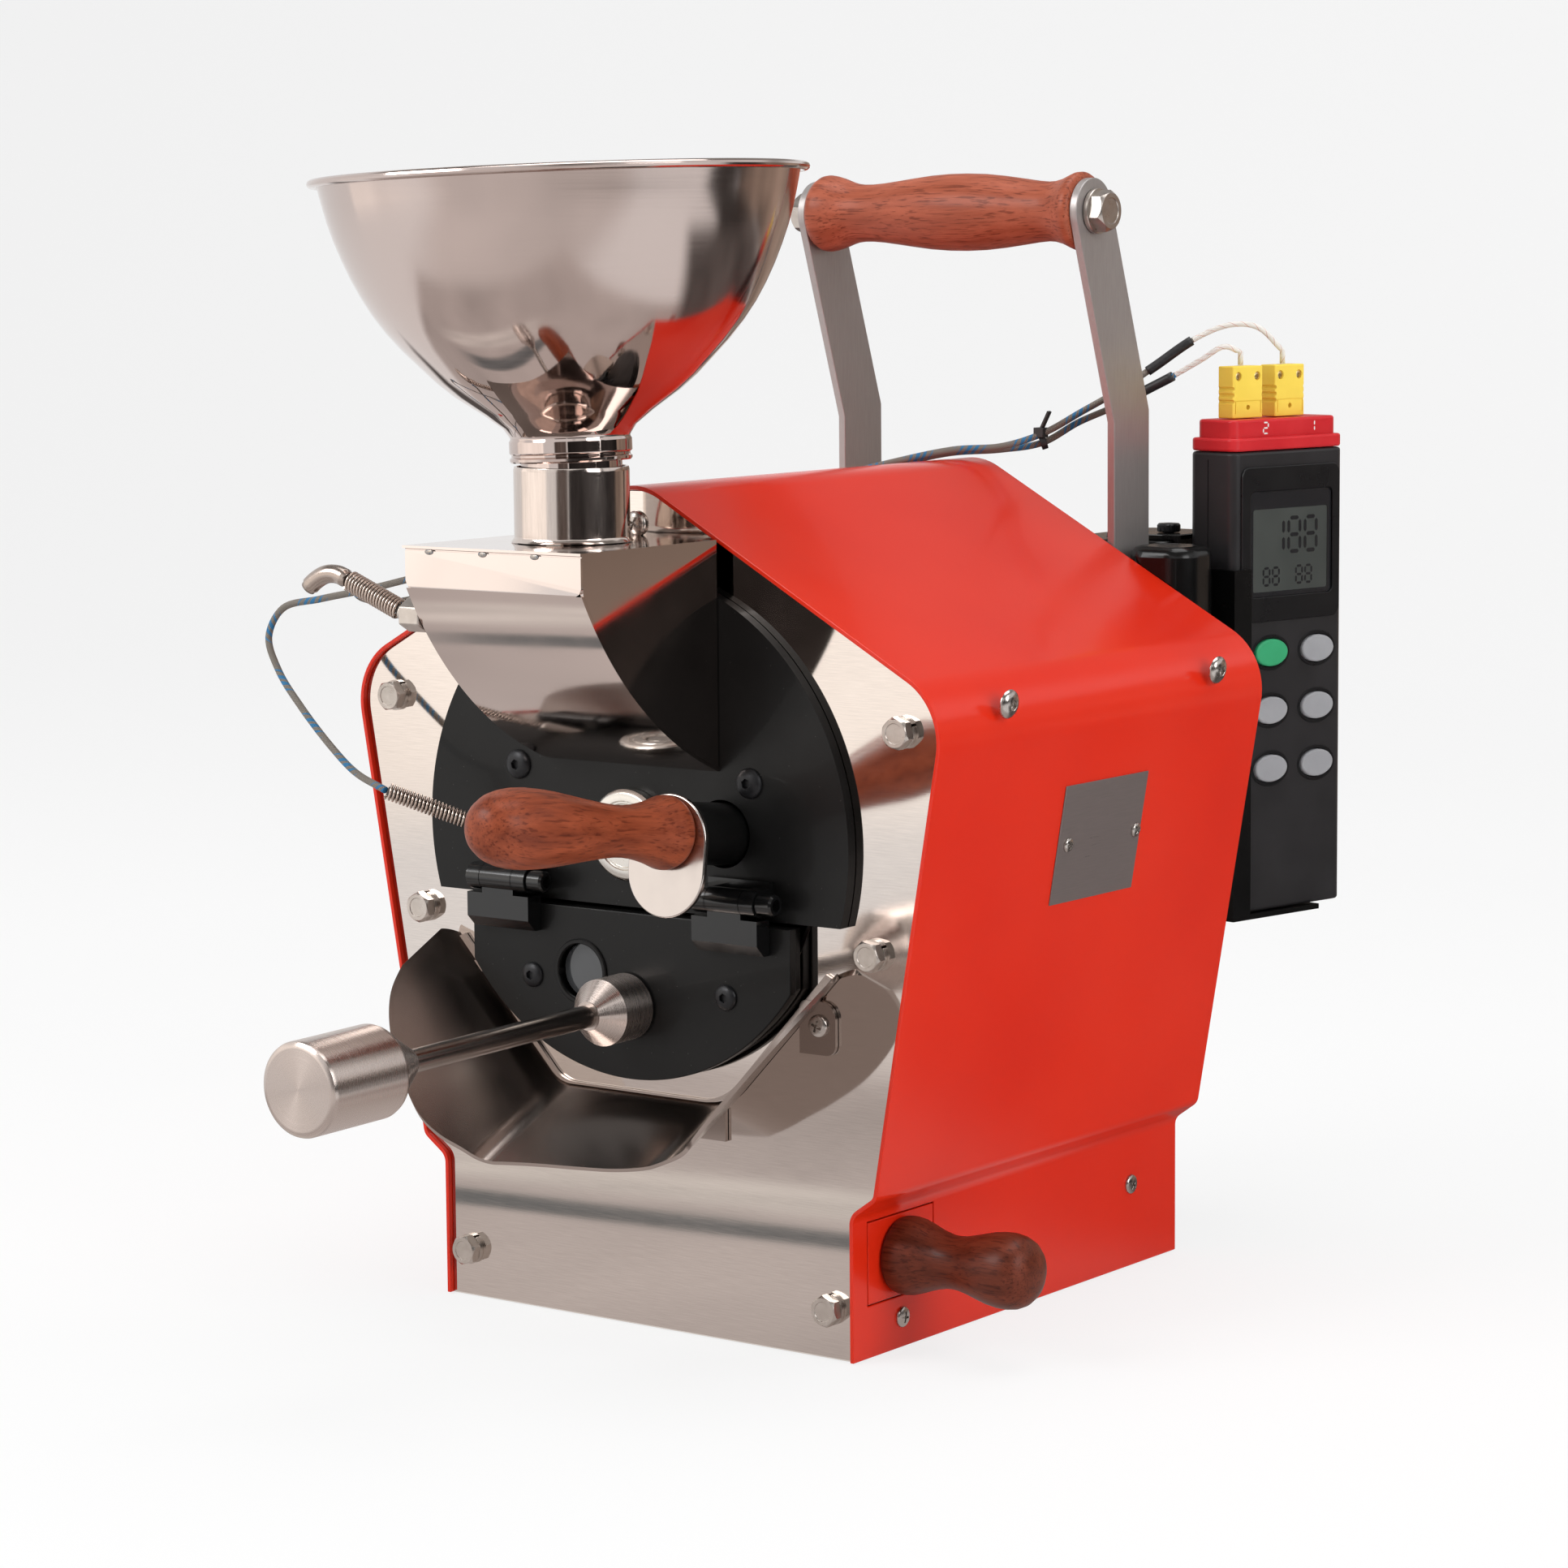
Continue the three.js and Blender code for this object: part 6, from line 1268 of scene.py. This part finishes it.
nut_face, nut_thick, nut_flats = Vector((-48.3, -68, 261)), 9, 21
hexagon = [(nut_face.y + a, nut_face.z + b) for a, b in circle(6, nut_flats / 2 / math.sqrt(3), math.radians(30))]
upper_nut = slab("upper_nut", hexagon, "YZ", nut_face.x, nut_thick)
pierced(upper_nut, slab("groove", [(-80, 255.6), (-56, 255.6), (-56, 250), (-80, 250)], "YZ", -60, 1))
rise = Vector((-0.93, 0, 0.37)).normalized()
stub = spun("stub", [(0, -2), (3.0, -2), (3.0, 2.6), (2.6, 3), (0, 3)], nut_face, rise, 32)
upper_nut = joined("upper_probe_fitting", eased(upper_nut, 0.5, 2), stub)
fitted(upper_nut, bolt_steel, "housing", "bright_steel", "upper_probe")
spring_start, spring_length = nut_face + rise * 3.3, 26
fitted(wound("upper_guard_spring", spring_start, rise, spring_length, 3.4, 0.5, 18), spring_steel, "housing",
       "grey_steel", "upper_spring")
core = rod("core", 1.7, 0, spring_length, spring_start, rise, 20)
lead_core = finish("lead_core", (0.10, 0.085, 0.075), 0.7, tinted=((0.06, 0.05, 0.045), (0.15, 0.13, 0.115), 900))
fitted(core, lead_core, "housing", "braid")
sleeve_start = spring_start + rise * (spring_length + 0.3)
bends = [tuple((sleeve_start + Vector(p)) / 1000) for p in
         ((0, 0, 0), (-5, 0, 1.7), (-10, -0.5, 1.6), (-14.5, -1, -0.6), (-18, -1.5, -3.6))]
bent = smooth_route(bends, 0.0008)
girth = [0.0033 - (0.0005 if k < 2 or k > len(bent) - 3 else 0) for k in range(len(bent))]
fitted(swept("upper_sleeve_bent", bent, girth, 28), sleeve_steel, "housing", "grey_steel", "upper_sleeve")

lower_seat = Vector((-50, -4.8, 173.6))
lower_run = Vector((-30.5, -24, 15)).normalized()
fitting = spun("lower_fitting", [(0, -8), (4, -8), (4, 8.6), (3.5, 9.6), (3.0, 10), (0, 10)], lower_seat, lower_run, 40)
pierced(fitting, bar("disc_side", (-80, -4.8, 150), (-20, 20, 200)))
fitted(eased(fitting, 0.2, 1), bolt_steel, "housing", "bright_steel", "lower_probe")
lower_spring_start = lower_seat + lower_run * 10.3
fitted(wound("lower_guard_spring", lower_spring_start, lower_run, 43, 2.75, 0.48, 30), spring_steel, "housing",
       "grey_steel", "lower_spring")
fitted(rod("lower_core", 1.6, 0, 42.6, lower_spring_start, lower_run, 20), lead_core,
       "housing", "braid")


# Cable tie. One black nylon tie holds both leads together behind the ridge.
nylon = finish("black_nylon", (0.02, 0.02, 0.021), 0.45, worn=(0.38, 0.55, 300, 2))
tie_middle = Vector((26.4, 220.6, 310.6))
run = (Vector((28, 219, 313.5)) - Vector((15, 209.5, 308.5))).normalized()
tie_side = run.orthogonal().normalized()
tie_up = run.cross(tie_side)
tie_reach, tie_rise = 3.6, 2.9
loop = [tie_middle + tie_reach * a * tie_side + tie_rise * b * tie_up for a, b in arc((0, 0), 1, 0, 2 * math.pi, 40)]
tie = pulled(drawn("tie_loop", [p / 1000 - run * 0.0012 for p in loop]), run * 0.0024)
closed_up(tie)
shaped(tie, "SOLIDIFY", thickness=0.0009, offset=0)
tie_head = bar("tie_head", (-2.2, -2.0, -1.6), (2.2, 2.0, 2.2))
tie_head.data.transform(Matrix.Translation((tie_middle + tie_up * 3.6) / 1000))
tail = bar("tie_tail", (-0.5, -1.1, 0), (0.5, 1.1, 9))
tail.data.transform(Matrix.Translation((tie_middle + tie_up * 4.4) / 1000) @ Matrix.Rotation(math.radians(28), 4, "Y"))
fitted(eased(joined("cable_tie", tie, tie_head, tail), 0.15, 1), nylon, "housing", "black_plastic")


# Floor, backdrop and light. A seamless pale sweep and large soft lamps, as in
# a product studio.
floor_line = [(-1.6, 0), (1.2, 0), (1.9, 0.05), (2.35, 0.25), (2.6, 0.65), (2.7, 1.2), (2.7, 4.5)]
sweep_path = smooth_route([(0, y, z) for y, z in floor_line[1:]], 0.08)
backdrop = pulled(drawn("studio_sweep", [Vector((-5, -5, -0.0005)), Vector((-5, 1.2, -0.0005))]
                        + [Vector((-5, p.y, p.z - 0.0005)) for p in sweep_path[1:]]), Vector((10, 0, 0)))
closed_up(backdrop)
paper, tree, shader = bare_finish("pale_paper", (0.8, 0.8, 0.8), 0.9)


def plainly_seen(tree):
    """One for a ray of the camera, of a reflection or through glass."""
    rays = added(tree, "LightPath").outputs
    return figured(tree, "MAXIMUM", figured(tree, "MAXIMUM", rays["Is Camera Ray"], rays["Is Glossy Ray"]),
                   rays["Is Transmission Ray"])


def parted(tree, share, first, second, output="Material Output"):
    """Two shaders by a share, into the tree's output."""
    both = added(tree, "MixShader", {0: share, 1: first, 2: second})
    tree.links.new(both.outputs["Shader"], tree.nodes[output].inputs["Surface"])


glow = added(tree, "Emission", Color=(0.98, 0.98, 0.98, 1)).outputs["Emission"]
parted(tree, figured(tree, "MULTIPLY", plainly_seen(tree), 0.8), shader.outputs["BSDF"], glow)
backdrop.data.materials.append(paper)


def reflector(name, centre, size, tone, turn=(0, 0, 0), uneven=0.15, soft=0.3):
    """A studio card of one tone with soft edges that only polished surfaces see; turn is in degrees."""
    bpy.ops.mesh.primitive_plane_add(size=2, location=centre, rotation=[math.radians(a) for a in turn])
    card = bpy.context.object
    card.name = name
    card.scale = (size[0] / 2, size[1] / 2, 1)
    material, tree, _ = bare_finish(name + "_tone", (0.5, 0.5, 0.5), 0.9)
    place = on_piece(tree)
    cloud = noise(tree, place, Scale=1.4, Detail=3.0)
    colour = shades(tree, cloud, *(tuple(c * (1 + way * uneven) for c in tone) for way in (-1, 1)), 0.35, 0.65)
    light = added(tree, "Emission", {"Color": colour}).outputs["Emission"]
    shares = [added(tree, "MapRange", {"Value": figured(tree, "ABSOLUTE", reach)}, From_Min=1 - soft, From_Max=1.0,
                    To_Min=1.0, To_Max=0.0, interpolation_type="SMOOTHSTEP").outputs["Result"]
              for reach in parts_of(tree, place)[:2]]
    clear = added(tree, "BsdfTransparent").outputs["BSDF"]
    parted(tree, figured(tree, "MULTIPLY", *shares), clear, light)
    card.data.materials.append(material)
    card.visible_camera = card.visible_diffuse = card.visible_shadow = card.visible_transmission = False


reflector("table_card", (-0.06, 0.04, 0.0004), (0.85, 1.0), (0.60, 0.55, 0.53), soft=0.15)
reflector("table_edge_card", (-0.10, -0.136, 0.0010), (0.42, 0.034), (0.19, 0.20, 0.205), (0, 0, -7), soft=0.5)
reflector("table_glow_card", (-0.13, -0.19, 0.0008), (0.5, 0.07), (0.8, 0.765, 0.73), (0, 0, -7), soft=0.6)
reflector("front_floor_card", (0.6, -0.95, 0.0003), (2.4, 1.5), (0.80, 0.76, 0.74), uneven=0.1)
reflector("near_floor_card", (0.0, 0.7, 0.0006), (1.7, 1.1), (0.12, 0.108, 0.103), uneven=0.5, soft=0.2)
reflector("right_floor_card", (1.35, 1.05, 0.0007), (1.5, 1.1), (0.05, 0.045, 0.042), uneven=0.5, soft=0.2)
reflector("right_wall_card", (1.62, 1.41, 0.25), (2.4, 0.75), (0.03, 0.027, 0.026), (90, 0, 131), 0.5, 0.12)
reflector("side_wall_card", (1.86, -0.78, 0.6), (3.1, 1.4), (0.03, 0.027, 0.026), (90, 0, 72.6), 0.5, 0.1)
reflector("far_floor_card", (1.645, -0.95, 0.0009), (1.5, 3.2), (0.05, 0.045, 0.043), (0, 0, -30), 0.5, 0.15)
reflector("rear_wall_card", (0.3, 1.22, 0.30), (2.1, 0.66), (0.31, 0.235, 0.19), (90, 0, 180), 0.6, 0.15)
reflector("camera_wall_card", (0.68, -1.88, 0.6), (0.9, 1.4), (0.12, 0.095, 0.085), (90, 0, 20), 0.5, 0.3)
reflector("ceiling_card", (0, 0, 2.3), (5, 5), (0.25, 0.24, 0.23), soft=0.2)
reflector("rear_high_card", (-0.3, 1.5, 1.5), (2.6, 1.5), (0.30, 0.28, 0.27), (90, 0, 0), soft=0.4)
reflector("bright_card", (-0.895, -0.90, 0.37), (1.7, 0.76), (1.4, 1.34, 1.27), (90, 0, -42), soft=0.15)

world = bpy.data.worlds.new("studio")
bpy.context.scene.world = world
world.use_nodes = True
tree = world.node_tree
lit = tree.nodes["Background"]
lit.inputs["Color"].default_value = (0.86, 0.86, 0.86, 1)
lit.inputs["Strength"].default_value = 0.55
shown = added(tree, "Background", Strength=1.0, Color=(0.93, 0.93, 0.93, 1))
parted(tree, plainly_seen(tree), lit.outputs["Background"], shown.outputs["Background"], "World Output")
bpy.context.scene.view_settings.view_transform = "Standard"


def lamp(name, place, aim, size, power):
    data = bpy.data.lights.new(name, "AREA")
    data.shape = "RECTANGLE"
    data.size, data.size_y = size
    data.energy = power
    light = bpy.data.objects.new(name, data)
    bpy.context.scene.collection.objects.link(light)
    light.location = place
    light.rotation_euler = (Vector(aim) - Vector(place)).to_track_quat("-Z", "Y").to_euler()


lamp("key_panel", (-0.9, -1.5, 1.5), (0, 0.05, 0.2), (1.2, 0.9), 26)
lamp("side_panel", (1.9, -0.2, 0.9), (0, 0.1, 0.2), (0.9, 1.2), 16)
lamp("top_panel", (0.1, 0.3, 2.0), (0, 0.1, 0.2), (1.4, 1.4), 20)
